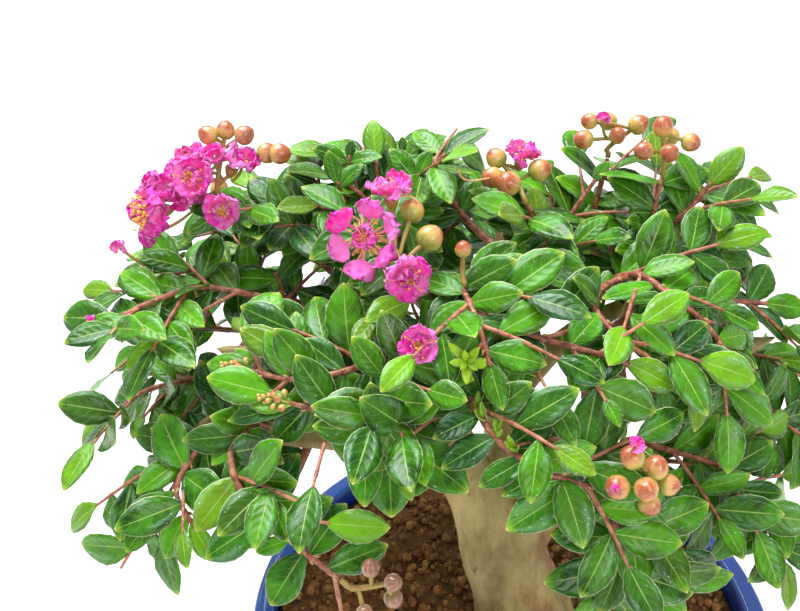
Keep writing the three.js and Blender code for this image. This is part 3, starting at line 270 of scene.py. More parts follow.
# How far the buds of a bunch at the back stand from its hub, mm
RULE_BUNCH_RISE = 11
LONE_BLOOMS = [
    ("lone_centre", "front_centre", [-0.2, -0.8, 0.5], 7),
    ("lone_left", "mid_left", [-0.8, -0.3, 0.3], 6),
]
# How ripe the buds of a bunch are, from green to rust; over 1.2 they are spent, brown capsules
RIPENESS = {
    "top_left": 1.08, "top_centre": 0.15, "crown_front": 0.35, "crown_back": 0.6, "top_right": 1.08,
    "front_right": 0.22, "low_left": 1.4, "centre": 0.7,
}
# One flower holds its petals out on long claws, round a tuft of curled stamens
CLAWED_BLOOM = "top_centre_1"
# Tufts of petals that break from buds, or open between the flowers on stalks of their own:
# heart, axis, radius, and where the stalk starts
PETAL_TUFTS = [
    [[21, -58, 222.5], [0.1, -0.3, 1], 3.6, None],
    [[15.7, -64.5, 213], [-0.5, -0.8, 0.4], 1.8, None],
    [[27, 58, 277], [0.1, -0.4, 0.8], 3.4, [30, 60, 270]],
    [[-118, 19, 217], [-0.3, -0.8, 0.5], 3.4, [-121, 20, 228]],
    [[-151, 38, 235], [-0.4, -0.6, 0.6], 4.0, [-137, 36, 226]],
    [[-139, 37, 251], [-0.6, -0.6, 0.4], 6.5, [-118, 42, 257]],
    [[-133, 39, 260], [-0.5, -0.5, 0.7], 6.5, [-118, 42, 259]],
    [[-125, 42, 264], [-0.3, -0.6, 0.7], 6.5, [-115, 44, 260]],
    [[-114, 45, 268], [-0.1, -0.6, 0.8], 6, [-111, 44, 260]],
    [[-103, 46, 267], [0.3, -0.7, 0.6], 6, [-108, 43, 260]],
    [[-119, 41, 257], [-0.1, -0.9, 0.3], 6, [-112, 42, 256]],
    [[-136, 33, 244], [-0.5, -0.8, 0.1], 6, [-118, 40, 254]],
    [[-128.2, 37, 261.1], [-0.4, -0.7, 0.6], 6, [-116, 43, 259]],
    [[-124.7, 35, 257.8], [-0.2, -0.9, 0.3], 6, [-114, 41, 257]],
    [[-130.4, 34, 257.2], [-0.5, -0.8, 0.2], 5.5, [-116, 41, 256]],
]
# Flowers whose stamens reach further out than the rest, as a multiple
STAMEN_REACH = {"top_left_4": 1.8}
# Racemes of tiny young buds at the ends of both stems of this spray
RACEME_SPRAY = "shoulder_left"
# A rosette of young leaves: heart and axis
ROSETTE = [[-27, -37, 238], [-0.1, -0.75, 0.65]]

# Folded young shoots on the main stem of one spray: distance along it and length
YOUNG_SPRAY = "front_right"
YOUNG_SHOOTS = [[27, 6.5], [31, 7.5], [37, 7], [44, 6.5]]
# Dry styles and tendrils, thin and curved: each a route
STYLES = [
    [[-52.5, 8.6, 271], [-48.8, 7, 271.8], [-44, 5.6, 272.5], [-41.2, 5.2, 270.4], [-41, 5.6, 267.6]],
    [[-27.2, 33, 269.5], [-25.3, 33, 266.1], [-21.8, 33, 265], [-18, 33.5, 265.4], [-15.2, 37, 264.2]],
    [[-57, -4, 262.5], [-60, -8, 257.5], [-63.5, -10.5, 254], [-66, -10.5, 255.2]],
]

# Inner twigs that only this script adds, spread evenly inside the dome, and the pieces they make
INNER_TWIGS = 46
INNER_PIECES = 8
# Tips of sprigs with small upright leaves along the crest of the crown
CREST_TIPS = [
    [-77, 62, 260], [-66, 60, 263], [-46, 68, 262], [-35, 64, 264], [-70, 46, 259], [-40, 46, 262],
]

# Where the camera stands, in metres, its pitch down in degrees, and its lens and sensor in mm
CAMERA_PLACE = (-0.047, -0.255, 0.400)
CAMERA_PITCH = 33
CAMERA_LENS = 40.5
SENSOR_WIDTH = 36
# The view in pixels, its middle, and how many pixels the slope of a line of sight makes
VIEW_SIZE = np.array([800, 611])
VIEW_CENTRE = VIEW_SIZE / 2
VIEW_SCALE = VIEW_SIZE[0] * CAMERA_LENS / SENSOR_WIDTH

# Gaps in the crown as the camera sees them: centre across and down, half-width and half-height.
# The soil and the trunk show in the lowest ones.
OPENINGS = [
    [316, 273, 11, 8], [297, 296, 6, 8], [276, 260, 10, 4], [127, 298, 8, 5], [222, 312, 9, 9],
    [229, 344, 26, 12], [112, 355, 21, 16], [158, 384, 9, 6], [106, 466, 26, 16], [274, 417, 8, 6],
    [231, 448, 4, 6], [314, 456, 16, 33], [184, 510, 12, 9], [100, 490, 10, 20], [150, 595, 60, 28],
    [225, 590, 34, 45], [290, 590, 30, 40], [404, 304, 24, 10], [500, 341, 12, 5], [556, 330, 20, 12],
    [619, 311, 18, 13], [640, 370, 15, 21], [549, 381, 20, 10], [575, 405, 11, 8], [674, 285, 11, 8],
    [500, 426, 5, 8], [350, 550, 32, 60], [410, 560, 40, 60], [475, 530, 44, 80], [540, 590, 30, 40],
]
# Flowers and buds that stand free in the view: no added leaf passes in front of them. Centre across
# and down, half-width and half-height, and how far the bunch is from the camera along its axis, in mm.
IN_FRONT = [
    [634, 446, 22, 26, 260], [645, 482, 38, 34, 258], [221, 209, 26, 22, 311], [190, 185, 74, 52, 312],
    [362, 240, 50, 50, 281], [406, 273, 24, 26, 274], [390, 183, 26, 18, 288], [512, 165, 40, 34, 322],
    [665, 140, 50, 26, 318], [612, 130, 40, 26, 334], [420, 222, 30, 34, 285], [386, 586, 30, 26, 275],
    [465, 362, 20, 18, 268], [243, 364, 14, 12, 281], [287, 408, 16, 12, 275], [425, 338, 20, 18, 268],
]
# The crown's upper edge in the same view, across and down
SKYLINE = [
    [40, 325], [100, 258], [135, 228], [200, 195], [260, 165], [310, 138], [470, 128], [490, 158],
    [560, 160], [590, 150], [720, 150], [800, 190],
]


# Numbers and vectors

def draws(seed):
    """A seeded stream of numbers from 0 to 1: the state is multiplied by 16807, modulo 2^31 - 1."""
    state = (seed * 48271 + 11) % 2147483647

    def step():
        """The next number."""
        nonlocal state
        state = (state * 16807) % 2147483647
        return (state - 1) / 2147483646

    step()
    step()
    return step


def unit(v):
    """v over its own length."""
    return np.asarray(v, float) / np.linalg.norm(v)


def round_angles(count):
    """Even angles round a whole turn."""
    return 2 * math.pi * np.arange(count) / count


def spoke(side, other, angle, reach=1.0):
    """A reach at an angle between two square directions: side by its cosine, other by its sine."""
    return (reach * np.cos(angle))[..., None] * side + (reach * np.sin(angle))[..., None] * other


def basis(axis):
    """Two directions square to an axis and to each other."""
    side = unit(np.cross(UP if abs(axis[2]) < 0.8 else RIGHT, axis))
    return side, np.cross(axis, side)


def first_side(tangent):
    """The direction in which the first corner of a ring round a tangent lies."""
    side = RIGHT - tangent * np.dot(RIGHT, tangent)
    return unit(side if np.linalg.norm(side) >= 0.3 else UP - tangent * np.dot(UP, tangent))


def turned(v, axis, degrees):
    """v turned about a unit axis: its part along the axis stays, the rest turns by the angle."""
    a = math.radians(degrees)
    return v * math.cos(a) + np.cross(axis, v) * math.sin(a) + axis * np.dot(axis, v) * (1 - math.cos(a))


def rumple(points, scale, seed, octaves=4):
    """Smooth random height at points: a sum of sine waves in random directions.

    Each octave halves the wavelength, which starts at scale mm, and has 0.55 of the height.
    """
    rng = np.random.default_rng(seed)
    total = np.zeros(points.shape[:-1])
    for octave in range(octaves):
        for _ in range(4):
            way = unit(rng.normal(size=3)) * 2 * math.pi / scale * 2 ** octave
            total += 0.55 ** octave * np.sin(points @ way + rng.uniform(0, 2 * math.pi))
    return total / 4


# Lines

def smooth(route, pieces=12):
    """Catmull-Rom curve through the points, whose ends are mirrored: a cubic on each span."""
    points = np.array(route, float)[:, :3]
    if len(points) == 2:
        return points
    p = np.vstack([2 * points[0] - points[1], points, 2 * points[-1] - points[-2]])
    t = np.arange(1, pieces + 1) / pieces
    weights = np.stack([
        -0.5 * t ** 3 + t ** 2 - 0.5 * t,
        1.5 * t ** 3 - 2.5 * t ** 2 + 1,
        -1.5 * t ** 3 + 2 * t ** 2 + 0.5 * t,
        0.5 * t ** 3 - 0.5 * t ** 2,
    ], axis=1)
    return np.vstack([points[:1], *(weights @ p[i:i + 4] for i in range(len(points) - 1))])


def length_of(line):
    """The sum of a polyline's segments."""
    return np.linalg.norm(np.diff(line, axis=0), axis=1).sum()


def place_on(line, distance):
    """The point at a distance along a polyline, and the direction of its segment."""
    line = np.asarray(line, float)
    reached = np.cumsum(np.linalg.norm(np.diff(line, axis=0), axis=1))
    i = min(np.searchsorted(reached, distance), len(reached) - 1)
    tangent = unit(line[i + 1] - line[i])
    return Record(point=line[i] + tangent * (distance - (reached[i - 1] if i else 0)), tangent=tangent)


def end_of(line):
    """The point where a line ends, and the direction in which it arrives."""
    return place_on(line, length_of(line))


def resample(line, step):
    """Points at even distances along a line, as near to step as fit."""
    total = length_of(line)
    count = max(1, int(total / step + 0.5))
    return np.array([place_on(line, total * i / count).point for i in range(count + 1)])


# Patches: closed shells of points and faces, gathered into one mesh for each piece

@functools.lru_cache(maxsize=None)
def shell_faces(rows, columns):
    """Faces of a grid that closes round its columns and ends in a pole before row 0 and after the last."""
    grid = 1 + np.arange(rows * columns).reshape(rows, columns)
    after = np.roll(grid, -1, axis=1)
    quads = np.stack([grid[:-1], after[:-1], after[1:], grid[1:]], axis=-1).reshape(-1, 4)
    last = rows * columns + 1
    low = np.stack([np.zeros(columns, int), after[0], grid[0]], axis=-1)
    high = np.stack([np.full(columns, last), grid[-1], after[-1]], axis=-1)
    return np.concatenate([low, high]), quads


@functools.lru_cache(maxsize=None)
def blade_faces(rows, columns):
    """Faces of a thin blade: two grids that share their side rims, and a pole at each end.

    Points run: pole, upper grid, lower grid without its rims, pole. The upper faces come first.
    """
    upper = 1 + np.arange(rows * columns).reshape(rows, columns)
    lower = upper.copy()
    lower[:, 1:-1] = 1 + rows * columns + np.arange(rows * (columns - 2)).reshape(rows, columns - 2)
    last = 1 + rows * columns + rows * (columns - 2)
    quads, tris = [], []
    for grid, flip in ((upper, 1), (lower, -1)):
        quad = np.stack([grid[:-1, :-1], grid[1:, :-1], grid[1:, 1:], grid[:-1, 1:]], axis=-1)
        quad = quad.reshape(-1, 4)
        near = np.stack([np.zeros(columns - 1, int), grid[0, :-1], grid[0, 1:]], axis=-1)
        far = np.stack([grid[-1, :-1], np.full(columns - 1, last), grid[-1, 1:]], axis=-1)
        # Both faces split each quad along the same diagonal, so that they stay a blade's thickness apart
        quads.append(quad if flip > 0 else quad[:, [0, 3, 2, 1]])
        tris.append(np.concatenate([near, far])[:, ::flip])
    return np.concatenate(tris), np.concatenate(quads)


def shell(grid, start, end, uv=None, **marks):
    """A closed shell from a (rows, columns, 3) grid of rings and its two pole points."""
    rows, columns = grid.shape[:2]
    tris, quads = shell_faces(rows, columns)
    co = np.concatenate([[start], grid.reshape(-1, 3), [end]])
    if uv is None:
        along = np.repeat(np.linspace(0, 1, rows), columns)
        around = np.tile(np.arange(columns) / columns, rows)
        uv = np.concatenate([[[0.5, 0]], np.stack([around, along], axis=1), [[0.5, 1]]])
    return Record(co=co, tris=tris, quads=quads, uv=uv, marks=marks)


def blade(upper, lower, start, end, uv, **marks):
    """A closed thin blade from (rows, columns, 3) grids of its two faces, with one rim."""
    rows, columns = upper.shape[:2]
    tris, quads = blade_faces(rows, columns)
    rim = upper.copy()
    rim[:, [0, -1]] = (upper[:, [0, -1]] + lower[:, [0, -1]]) / 2
    co = np.concatenate([[start], rim.reshape(-1, 3), lower[:, 1:-1].reshape(-1, 3), [end]])
    flat = np.concatenate([[[0.5, 0]], uv.reshape(-1, 2), uv[:, 1:-1].reshape(-1, 2), [[0.5, 1]]])
    under = np.concatenate([np.arange(len(faces)) >= len(faces) // 2 for faces in (tris, quads)])
    return Record(co=co, tris=tris, quads=quads, uv=flat, marks={**marks, "under": under.astype(float)})


def rings_along(points, radii, sides):
    """Rings square to a line, turned as little as they can be from one to the next."""
    points = np.asarray(points, float)
    tangents = np.empty_like(points)
    tangents[1:-1] = points[2:] - points[:-2]
    tangents[0] = points[1] - points[0]
    tangents[-1] = points[-1] - points[-2]
    tangents /= np.linalg.norm(tangents, axis=1)[:, None]
    side = first_side(tangents[0])
    sides_out = np.empty_like(points)
    for i, tangent in enumerate(tangents):
        side = unit(side - tangent * np.dot(side, tangent))
        sides_out[i] = side
    other = np.cross(tangents, sides_out)
    angle = round_angles(sides)
    round_ = sides_out[:, None] * np.cos(angle)[:, None] + other[:, None] * np.sin(angle)[:, None]
    return points[:, None] + round_ * np.broadcast_to(np.asarray(radii, float), len(points))[:, None, None]


def sweep(points, radii, sides=8, **marks):
    """A round rod: rings of the given radii carried along a line, closed by a pole at each end."""
    return shell(rings_along(points, radii, sides), points[0], points[-1], **marks)


def revolve(profile, segments, **marks):
    """A profile of (radius, height) turned about Z; its first and last points are on the axis."""
    profile = np.array(profile, float)
    angle = round_angles(segments)
    r, z = profile[1:-1, 0, None], profile[1:-1, 1, None]
    grid = np.stack([r * np.cos(angle), r * np.sin(angle), z + 0 * angle], axis=-1)
    return shell(grid, [0, 0, profile[0, 1]], [0, 0, profile[-1, 1]], **marks)


def link(name, data):
    """A new object with this mesh, light or camera, at the origin of the scene."""
    made = bpy.data.objects.new(name, data)
    bpy.context.scene.collection.objects.link(made)
    return made


def make_piece(name, patches, materials):
    """One mesh object from patches, whose points and faces follow one another.

    A patch's marks become attributes, and its mark "material" picks one of materials.
    """
    count = [len(p.co) for p in patches]
    offset = np.cumsum([0, *count[:-1]])
    co = np.concatenate([p.co for p in patches]) * MM
    tris = np.concatenate([p.tris + o for p, o in zip(patches, offset)])
    quads = np.concatenate([p.quads + o for p, o in zip(patches, offset)])
    corners = np.concatenate([tris.ravel(), quads.ravel()])
    starts = np.concatenate([3 * np.arange(len(tris)), 3 * len(tris) + 4 * np.arange(len(quads))])

    def by_face(value):
        """A value for each face: triangles of all patches first, then quads."""
        cells = [np.broadcast_to(value(p), len(p.tris) + len(p.quads)) for p in patches]
        first = [c[:len(p.tris)] for c, p in zip(cells, patches)]
        return np.concatenate(first + [c[len(p.tris):] for c, p in zip(cells, patches)])

    mesh = bpy.data.meshes.new(name)
    mesh.vertices.add(len(co))
    mesh.vertices.foreach_set("co", co.ravel())
    mesh.loops.add(len(corners))
    mesh.loops.foreach_set("vertex_index", corners.astype(np.int32))
    mesh.polygons.add(len(starts))
    mesh.polygons.foreach_set("loop_start", starts.astype(np.int32))
    picks = by_face(lambda p: p.marks.get("material", 0))
    mesh.polygons.foreach_set("material_index", picks.astype(np.int32))
    uv = np.concatenate([p.uv for p in patches])
    mesh.uv_layers.new(name="UVMap").data.foreach_set("uv", uv[corners].ravel())
    for key in sorted({k for p in patches for k in p.marks} - {"material"}):
        if key == "under":
            values, domain = by_face(lambda p: p.marks.get("under", 0.0)), "FACE"
        else:
            spread = [np.broadcast_to(p.marks.get(key, 0.0), n) for p, n in zip(patches, count)]
            values, domain = np.concatenate(spread), "POINT"
        mesh.attributes.new(key, "FLOAT", domain).data.foreach_set("value", values.astype(np.float32))
    mesh.update(calc_edges=True)
    mesh.shade_smooth()
    for material in materials:
        mesh.materials.append(material)
    piece = link(name, mesh)
    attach(piece, "root")
    return piece


# Materials

def colour(hex_code):
    """Linear RGBA of an sRGB hex colour."""
    srgb = np.array([int(hex_code[i:i + 2], 16) for i in (1, 3, 5)]) / 255
    linear = np.where(srgb <= 0.04045, srgb / 12.92, ((srgb + 0.055) / 1.055) ** 2.4)
    return (*linear, 1.0)


def add(tree, kind, *values, output=0, stops=None, **settings):
    """Adds a node: settings by name, values or links to its inputs in order or as {name: value}."""
    made = tree.nodes.new(kind)
    for key, value in settings.items():
        setattr(made, key, value)
    named = values[-1] if values and isinstance(values[-1], dict) else {}
    pairs = [*enumerate(v for v in values if not isinstance(v, dict)), *named.items()]
    for key, value in pairs:
        if value is None:
            continue
        if isinstance(value, bpy.types.NodeSocket):
            tree.links.new(value, made.inputs[key])
        else:
            made.inputs[key].default_value = value
    if stops:
        ramp = made.color_ramp
        while len(ramp.elements) < len(stops):
            ramp.elements.new(0.5)
        for element, (position, shade) in zip(ramp.elements, stops):
            element.position = position
            element.color = shade
    return made.outputs[output]


def new_material(name, **principled):
    """A material with one Principled shader: returns it, its node tree and the shader."""
    material = bpy.data.materials.new(name)
    material.use_nodes = True
    tree = material.node_tree
    shader = tree.nodes["Principled BSDF"]
    for key, value in principled.items():
        shader.inputs[key.replace("_", " ")].default_value = value
    return material, tree, shader


def connect(tree, shader, **outputs):
    """Links outputs to the shader's inputs of these names."""
    for key, output in outputs.items():
        tree.links.new(output, shader.inputs[key.replace("_", " ")])


def leaf_material(name, dark, light, young, under):
    """Waxy crape myrtle leaf: dark and glossy above, pale and dull below.

    A pale midrib tapers to the tip, seven pairs of side veins arch forward from it,
    the blade is quilted between them, and its margin is a fine pale line, partly a painted rim highlight.
    A painted bluish-white sheen lies in drifts over the blade.
    """
    material, tree, shader = new_material(
        name, Subsurface_Weight=0.12, Subsurface_Scale=0.001, Subsurface_Radius=(0.5, 1.0, 0.2),
        Specular_IOR_Level=0.32)
    uv = add(tree, "ShaderNodeUVMap", uv_map="UVMap")
    across = add(tree, "ShaderNodeSeparateXYZ", uv)
    along = add(tree, "ShaderNodeSeparateXYZ", uv, output=1)
    centred = add(tree, "ShaderNodeMath", across, 0.5, operation="SUBTRACT")
    aside = add(tree, "ShaderNodeMath", centred, operation="ABSOLUTE")
    off = add(tree, "ShaderNodeMath", aside, 2.0, operation="MULTIPLY")
    tone = add(tree, "ShaderNodeAttribute", attribute_name="tone", output="Fac")
    youth = add(tree, "ShaderNodeAttribute", attribute_name="youth", output="Fac")
    below = add(tree, "ShaderNodeAttribute", attribute_name="under", output="Fac")

    # Side veins: where along x 6.5 minus their forward arch passes a whole number
    arch = add(tree, "ShaderNodeMath", off, 1.3, operation="POWER")
    lean = add(tree, "ShaderNodeMath", arch, 0.3, operation="MULTIPLY")
    share = add(tree, "ShaderNodeMath", along, lean, operation="SUBTRACT")
    count = add(tree, "ShaderNodeMath", share, 6.5, operation="MULTIPLY")
    fold = add(tree, "ShaderNodeMath", count, 0.5, operation="PINGPONG")
    vein = add(tree, "ShaderNodeMapRange", fold, 0.0, 0.05, 0.42, 0.0, interpolation_type="SMOOTHSTEP")
    quilt = add(tree, "ShaderNodeMapRange", fold, 0.0, 0.5, 0.0, 1.0, interpolation_type="SMOOTHSTEP")
    width = add(tree, "ShaderNodeMapRange", along, 0.0, 1.0, 0.09, 0.018)
    rib = add(tree, "ShaderNodeMapRange", off, 0.02, width, 1.0, 0.0, interpolation_type="SMOOTHSTEP")
    midrib = add(tree, "ShaderNodeMath", rib, 0.7, operation="MULTIPLY")
    # The margin's pale line is partly the leaf's own pale edge and partly a painted rim highlight
    margin = add(tree, "ShaderNodeMapRange", off, 0.93, 0.985, 0.0, 0.85)
    ripe = add(tree, "ShaderNodeMapRange", along, 0.88, 0.975, 0.0, 0.6)
    tip = add(tree, "ShaderNodeMapRange", along, 0.972, 0.99, 0.0, 1.0)

    # Each leaf has a green of its own, clouded over a few millimetres, and some are a cooler green
    place = add(tree, "ShaderNodeTexCoord", output="Object")
    cloud = add(tree, "ShaderNodeTexNoise", {"Vector": place, "Scale": 130.0, "Detail": 3.0})
    own = add(tree, "ShaderNodeMath", tone, 0.6, operation="MULTIPLY")
    shade = add(tree, "ShaderNodeMath", cloud, 1.6, own, operation="MULTIPLY_ADD")
    mixed = add(tree, "ShaderNodeMapRange", shade, 0.65, 1.6, 0.0, 1.0)
    green = add(tree, "ShaderNodeValToRGB", mixed, stops=[(0.0, colour(dark)), (1.0, colour(light))])
    spun = add(tree, "ShaderNodeMath", tone, 37.0, operation="MULTIPLY")
    swing = add(tree, "ShaderNodeMath", spun, operation="SINE")
    cool = add(tree, "ShaderNodeMapRange", swing, -0.1, 1.0, 0.0, 0.6)

    # A painted bluish-white sheen, standing in for the reflection of the bright surroundings, lies in
    # drifts along the blade, thicker towards the margin, with pale specks of dust and dried water here and
    # there
    drawn = add(tree, "ShaderNodeMath", along, 0.45, operation="MULTIPLY")
    drawn = add(tree, "ShaderNodeCombineXYZ", across, drawn, tone)
    drift = add(tree, "ShaderNodeTexNoise", {"Vector": drawn, "Scale": 4.5, "Detail": 3.0})
    outer = add(tree, "ShaderNodeMath", off, 0.12, drift, operation="MULTIPLY_ADD")
    painted_sheen = add(tree, "ShaderNodeMapRange", outer, 0.58, 0.78, 0.0, 0.3)
    fleck = add(tree, "ShaderNodeTexNoise", {"Vector": place, "Scale": 1400.0, "Detail": 2.0})
    crowded = add(tree, "ShaderNodeMath", outer, 0.35, fleck, operation="MULTIPLY_ADD")
    specks = add(tree, "ShaderNodeMapRange", crowded, 0.9, 0.96, 0.0, 0.7)
    pale = add(tree, "ShaderNodeMath", below, 0.75, operation="MULTIPLY")

    # Of these layers the painted sheen and the painted rim highlight on the margin stand in for light; the
    # rest are the leaf's own colours
    layers = [
        (cool, "#12481e"), (youth, young), (vein, "#8fbc5c"), (midrib, "#a6c862"), (painted_sheen, "#92c09a"),
        (margin, "#d2e4a6"), (ripe, "#a8c83c"), (tip, "#d6c884"), (specks, "#dfe8d6"), (pale, under),
    ]
    for amount, tint in layers:
        green = add(tree, "ShaderNodeMix", {0: amount, 6: green, 7: colour(tint)}, data_type="RGBA",
                    output=2)

    dull = add(tree, "ShaderNodeMapRange", cloud, 0.3, 0.7, 0.16, 0.36)
    rough = add(tree, "ShaderNodeMix", {0: below, 2: dull, 3: 0.6}, data_type="FLOAT")

    # Quilting about 0.2 mm high with sunken veins and a fine waxy grain
    sunk = add(tree, "ShaderNodeMath", rib, -1.2, quilt, operation="MULTIPLY_ADD")
    grain = add(tree, "ShaderNodeMath", fleck, 0.25, sunk, operation="MULTIPLY_ADD")
    bump = add(tree, "ShaderNodeBump", {"Strength": 0.32, "Distance": 0.0002, "Height": grain})
    connect(tree, shader, Base_Color=green, Roughness=rough, Normal=bump)
    return material


def mottled(name, stops, scale, roughness, bump_scale, bump_height, stretch=(1, 1, 1), patches=(),
            **principled):
    """A natural surface: a noise of a few tones at one scale, and a finer bump, whose height is in mm.

    Scales are waves a metre, so that 250 gives spots 4 mm apart. Each patch is a colour, its scale, and
    where its own noise starts and is full.
    """
    material, tree, shader = new_material(name, **principled)
    place = add(tree, "ShaderNodeTexCoord", output="Object")
    tone = add(tree, "ShaderNodeAttribute", attribute_name="tone", output="Fac")
    stretched = add(tree, "ShaderNodeMapping", {"Vector": place, "Scale": stretch})
    cloud = add(tree, "ShaderNodeTexNoise",
                {"Vector": stretched, "Scale": scale, "Detail": 6.0, "Roughness": 0.6})
    shifted = add(tree, "ShaderNodeMath", tone, 0.35, cloud, operation="MULTIPLY_ADD")
    shades = [(at, colour(code)) for at, code in stops]
    body = add(tree, "ShaderNodeValToRGB", shifted, stops=shades)
    for code, patch_scale, start, full in patches:
        moved = add(tree, "ShaderNodeMapping", {"Vector": stretched, "Location": (patch_scale, 0.7, 0.3)})
        own = add(tree, "ShaderNodeTexNoise",
                  {"Vector": moved, "Scale": patch_scale, "Detail": 5.0, "Roughness": 0.65})
        mask = add(tree, "ShaderNodeMapRange", own, start, full, 0.0, 0.85)
        body = add(tree, "ShaderNodeMix", {0: mask, 6: body, 7: colour(code)}, data_type="RGBA", output=2)
    rough = add(tree, "ShaderNodeMapRange", cloud, 0.3, 0.7, roughness - 0.08, roughness + 0.08)
    relief = add(tree, "ShaderNodeTexNoise", {"Vector": stretched, "Scale": bump_scale, "Detail": 8.0})
    bump = add(tree, "ShaderNodeBump", {"Strength": 0.8, "Distance": bump_height * MM, "Height": relief})
    connect(tree, shader, Base_Color=body, Roughness=rough, Normal=bump)
    return material


def bud_material():
    """Glossy unopened bud: olive-green at its foot, golden in the middle and rust at its tip.

    It is finely streaked from foot to tip, with six faint seams. Spent ones are dull brown.
    """
    material, tree, shader = new_material(
        "bud_skin", Subsurface_Weight=0.12, Subsurface_Scale=0.0012, Coat_Weight=0.45, Coat_Roughness=0.12)
    uv = add(tree, "ShaderNodeUVMap", uv_map="UVMap")
    around = add(tree, "ShaderNodeSeparateXYZ", uv)
    along = add(tree, "ShaderNodeSeparateXYZ", uv, output=1)
    tone = add(tree, "ShaderNodeAttribute", attribute_name="tone", output="Fac")
    place = add(tree, "ShaderNodeTexCoord", output="Object")
    cloud = add(tree, "ShaderNodeTexNoise", {"Vector": place, "Scale": 380.0, "Detail": 4.0})
    height = add(tree, "ShaderNodeMath", along, 0.75, operation="MULTIPLY")
    shifted = add(tree, "ShaderNodeMath", cloud, 0.5, height, operation="MULTIPLY_ADD")
    aged = add(tree, "ShaderNodeMath", tone, 0.24, shifted, operation="MULTIPLY_ADD")
    skin = add(tree, "ShaderNodeValToRGB", aged, stops=[
        (0.4, colour("#98a644")), (0.62, colour("#d2b65a")), (0.84, colour("#dc9c60")),
        (1.0, colour("#b65c36")),
    ])
    spent = add(tree, "ShaderNodeMapRange", tone, 1.15, 1.25, 0.0, 0.8)
    skin = add(tree, "ShaderNodeMix", {0: spent, 6: skin, 7: colour("#8d6a58")}, data_type="RGBA", output=2)
    turns = add(tree, "ShaderNodeMath", around, 6.0, operation="MULTIPLY")
    aside = add(tree, "ShaderNodeMath", turns, 0.5, operation="PINGPONG")
    seam = add(tree, "ShaderNodeMapRange", aside, 0.0, 0.06, 0.25, 0.0, interpolation_type="SMOOTHSTEP")
    skin = add(tree, "ShaderNodeMix", {0: seam, 6: skin, 7: colour("#7d3a28")}, data_type="RGBA", output=2)
    packed = add(tree, "ShaderNodeMath", around, 22.0, operation="MULTIPLY")
    ribs = add(tree, "ShaderNodeCombineXYZ", packed, along, tone)
    streak = add(tree, "ShaderNodeTexNoise", {"Vector": ribs, "Scale": 1.6, "Detail": 2.0})
    lit = add(tree, "ShaderNodeMapRange", streak, 0.52, 0.68, 0.0, 0.45)
    skin = add(tree, "ShaderNodeMix", {0: lit, 6: skin, 7: colour("#e6c48c")}, data_type="RGBA", output=2)
    rough = add(tree, "ShaderNodeMapRange", cloud, 0.3, 0.7, 0.26, 0.4)
    bump = add(tree, "ShaderNodeBump", {"Strength": 0.35, "Distance": 0.0002, "Height": streak})
    connect(tree, shader, Base_Color=skin, Roughness=rough, Normal=bump)
    return material


def petal_material():
    """Crinkled silk-thin petal: matt magenta-pink, deeper in places and paler on the claw, and light
    passes a little way into it."""
    material, tree, shader = new_material(
        "petal", Subsurface_Weight=0.3, Subsurface_Scale=0.0015, Roughness=0.65, Specular_IOR_Level=0.25)
    uv = add(tree, "ShaderNodeUVMap", uv_map="UVMap")
    along = add(tree, "ShaderNodeSeparateXYZ", uv, output=1)
    tone = add(tree, "ShaderNodeAttribute", attribute_name="tone", output="Fac")
    place = add(tree, "ShaderNodeTexCoord", output="Object")
    cloud = add(tree, "ShaderNodeTexNoise", {"Vector": place, "Scale": 450.0, "Detail": 5.0})
    mixed = add(tree, "ShaderNodeMath", tone, 0.5, cloud, operation="MULTIPLY_ADD")
    pink = add(tree, "ShaderNodeValToRGB", mixed, stops=[
        (0.32, colour("#f01aa4")), (0.55, colour("#ff40bc")), (0.95, colour("#ff88d2")),
    ])
    claw = add(tree, "ShaderNodeMapRange", along, 0.28, 0.42, 0.8, 0.0)
    pink = add(tree, "ShaderNodeMix", {0: claw, 6: pink, 7: colour("#f0a8c8")}, data_type="RGBA", output=2)
    creases = add(tree, "ShaderNodeTexNoise", {"Vector": place, "Scale": 1500.0, "Detail": 4.0})
    bump = add(tree, "ShaderNodeBump", {"Strength": 0.3, "Distance": 0.0002, "Height": creases})
    connect(tree, shader, Base_Color=pink, Normal=bump)
    return material


def glaze_material():
    """Fired cobalt glaze on stoneware, glossy and clear: it is a lighter blue on the lip, partly where it
    thins and partly as a painted highlight, lies in soft ripples and stops short of the foot ring, which is
    bare clay."""
    material, tree, shader = new_material("cobalt_glaze", Coat_Weight=0.6, Coat_Roughness=0.05)
    place = add(tree, "ShaderNodeTexCoord", output="Object")
    height = add(tree, "ShaderNodeSeparateXYZ", place, output=2)
    cloud = add(tree, "ShaderNodeTexNoise", {"Vector": place, "Scale": 60.0, "Detail": 5.0})
    blue = add(tree, "ShaderNodeValToRGB", cloud,
               stops=[(0.3, colour("#13308c")), (0.7, colour("#2450bf"))])
    # The lip's lighter blue along the top of the rim is partly thinner glaze and partly a painted highlight
    lip = add(tree, "ShaderNodeMapRange", height, 0.0745, 0.0795, 0.0, 0.55)
    blue = add(tree, "ShaderNodeMix", {0: lip, 6: blue, 7: colour("#3f72d8")}, data_type="RGBA", output=2)
    edge = add(tree, "ShaderNodeMath", cloud, 0.003, height, operation="MULTIPLY_ADD")
    bare = add(tree, "ShaderNodeMapRange", edge, 0.0035, 0.004, 1.0, 0.0)
    body = add(tree, "ShaderNodeMix", {0: bare, 6: blue, 7: colour("#8a6a50")}, data_type="RGBA", output=2)
    rough = add(tree, "ShaderNodeMix", {0: bare, 2: 0.14, 3: 0.8}, data_type="FLOAT")
    relief = add(tree, "ShaderNodeTexNoise", {"Vector": place, "Scale": 90.0, "Detail": 2.0})
    bump = add(tree, "ShaderNodeBump", {"Strength": 0.25, "Distance": 0.0006, "Height": relief})
    connect(tree, shader, Base_Color=body, Roughness=rough, Normal=bump)
    return material


LEAF = leaf_material("waxy_leaf", "#0a3404", "#54a806", "#a4d01e", "#7fa838")
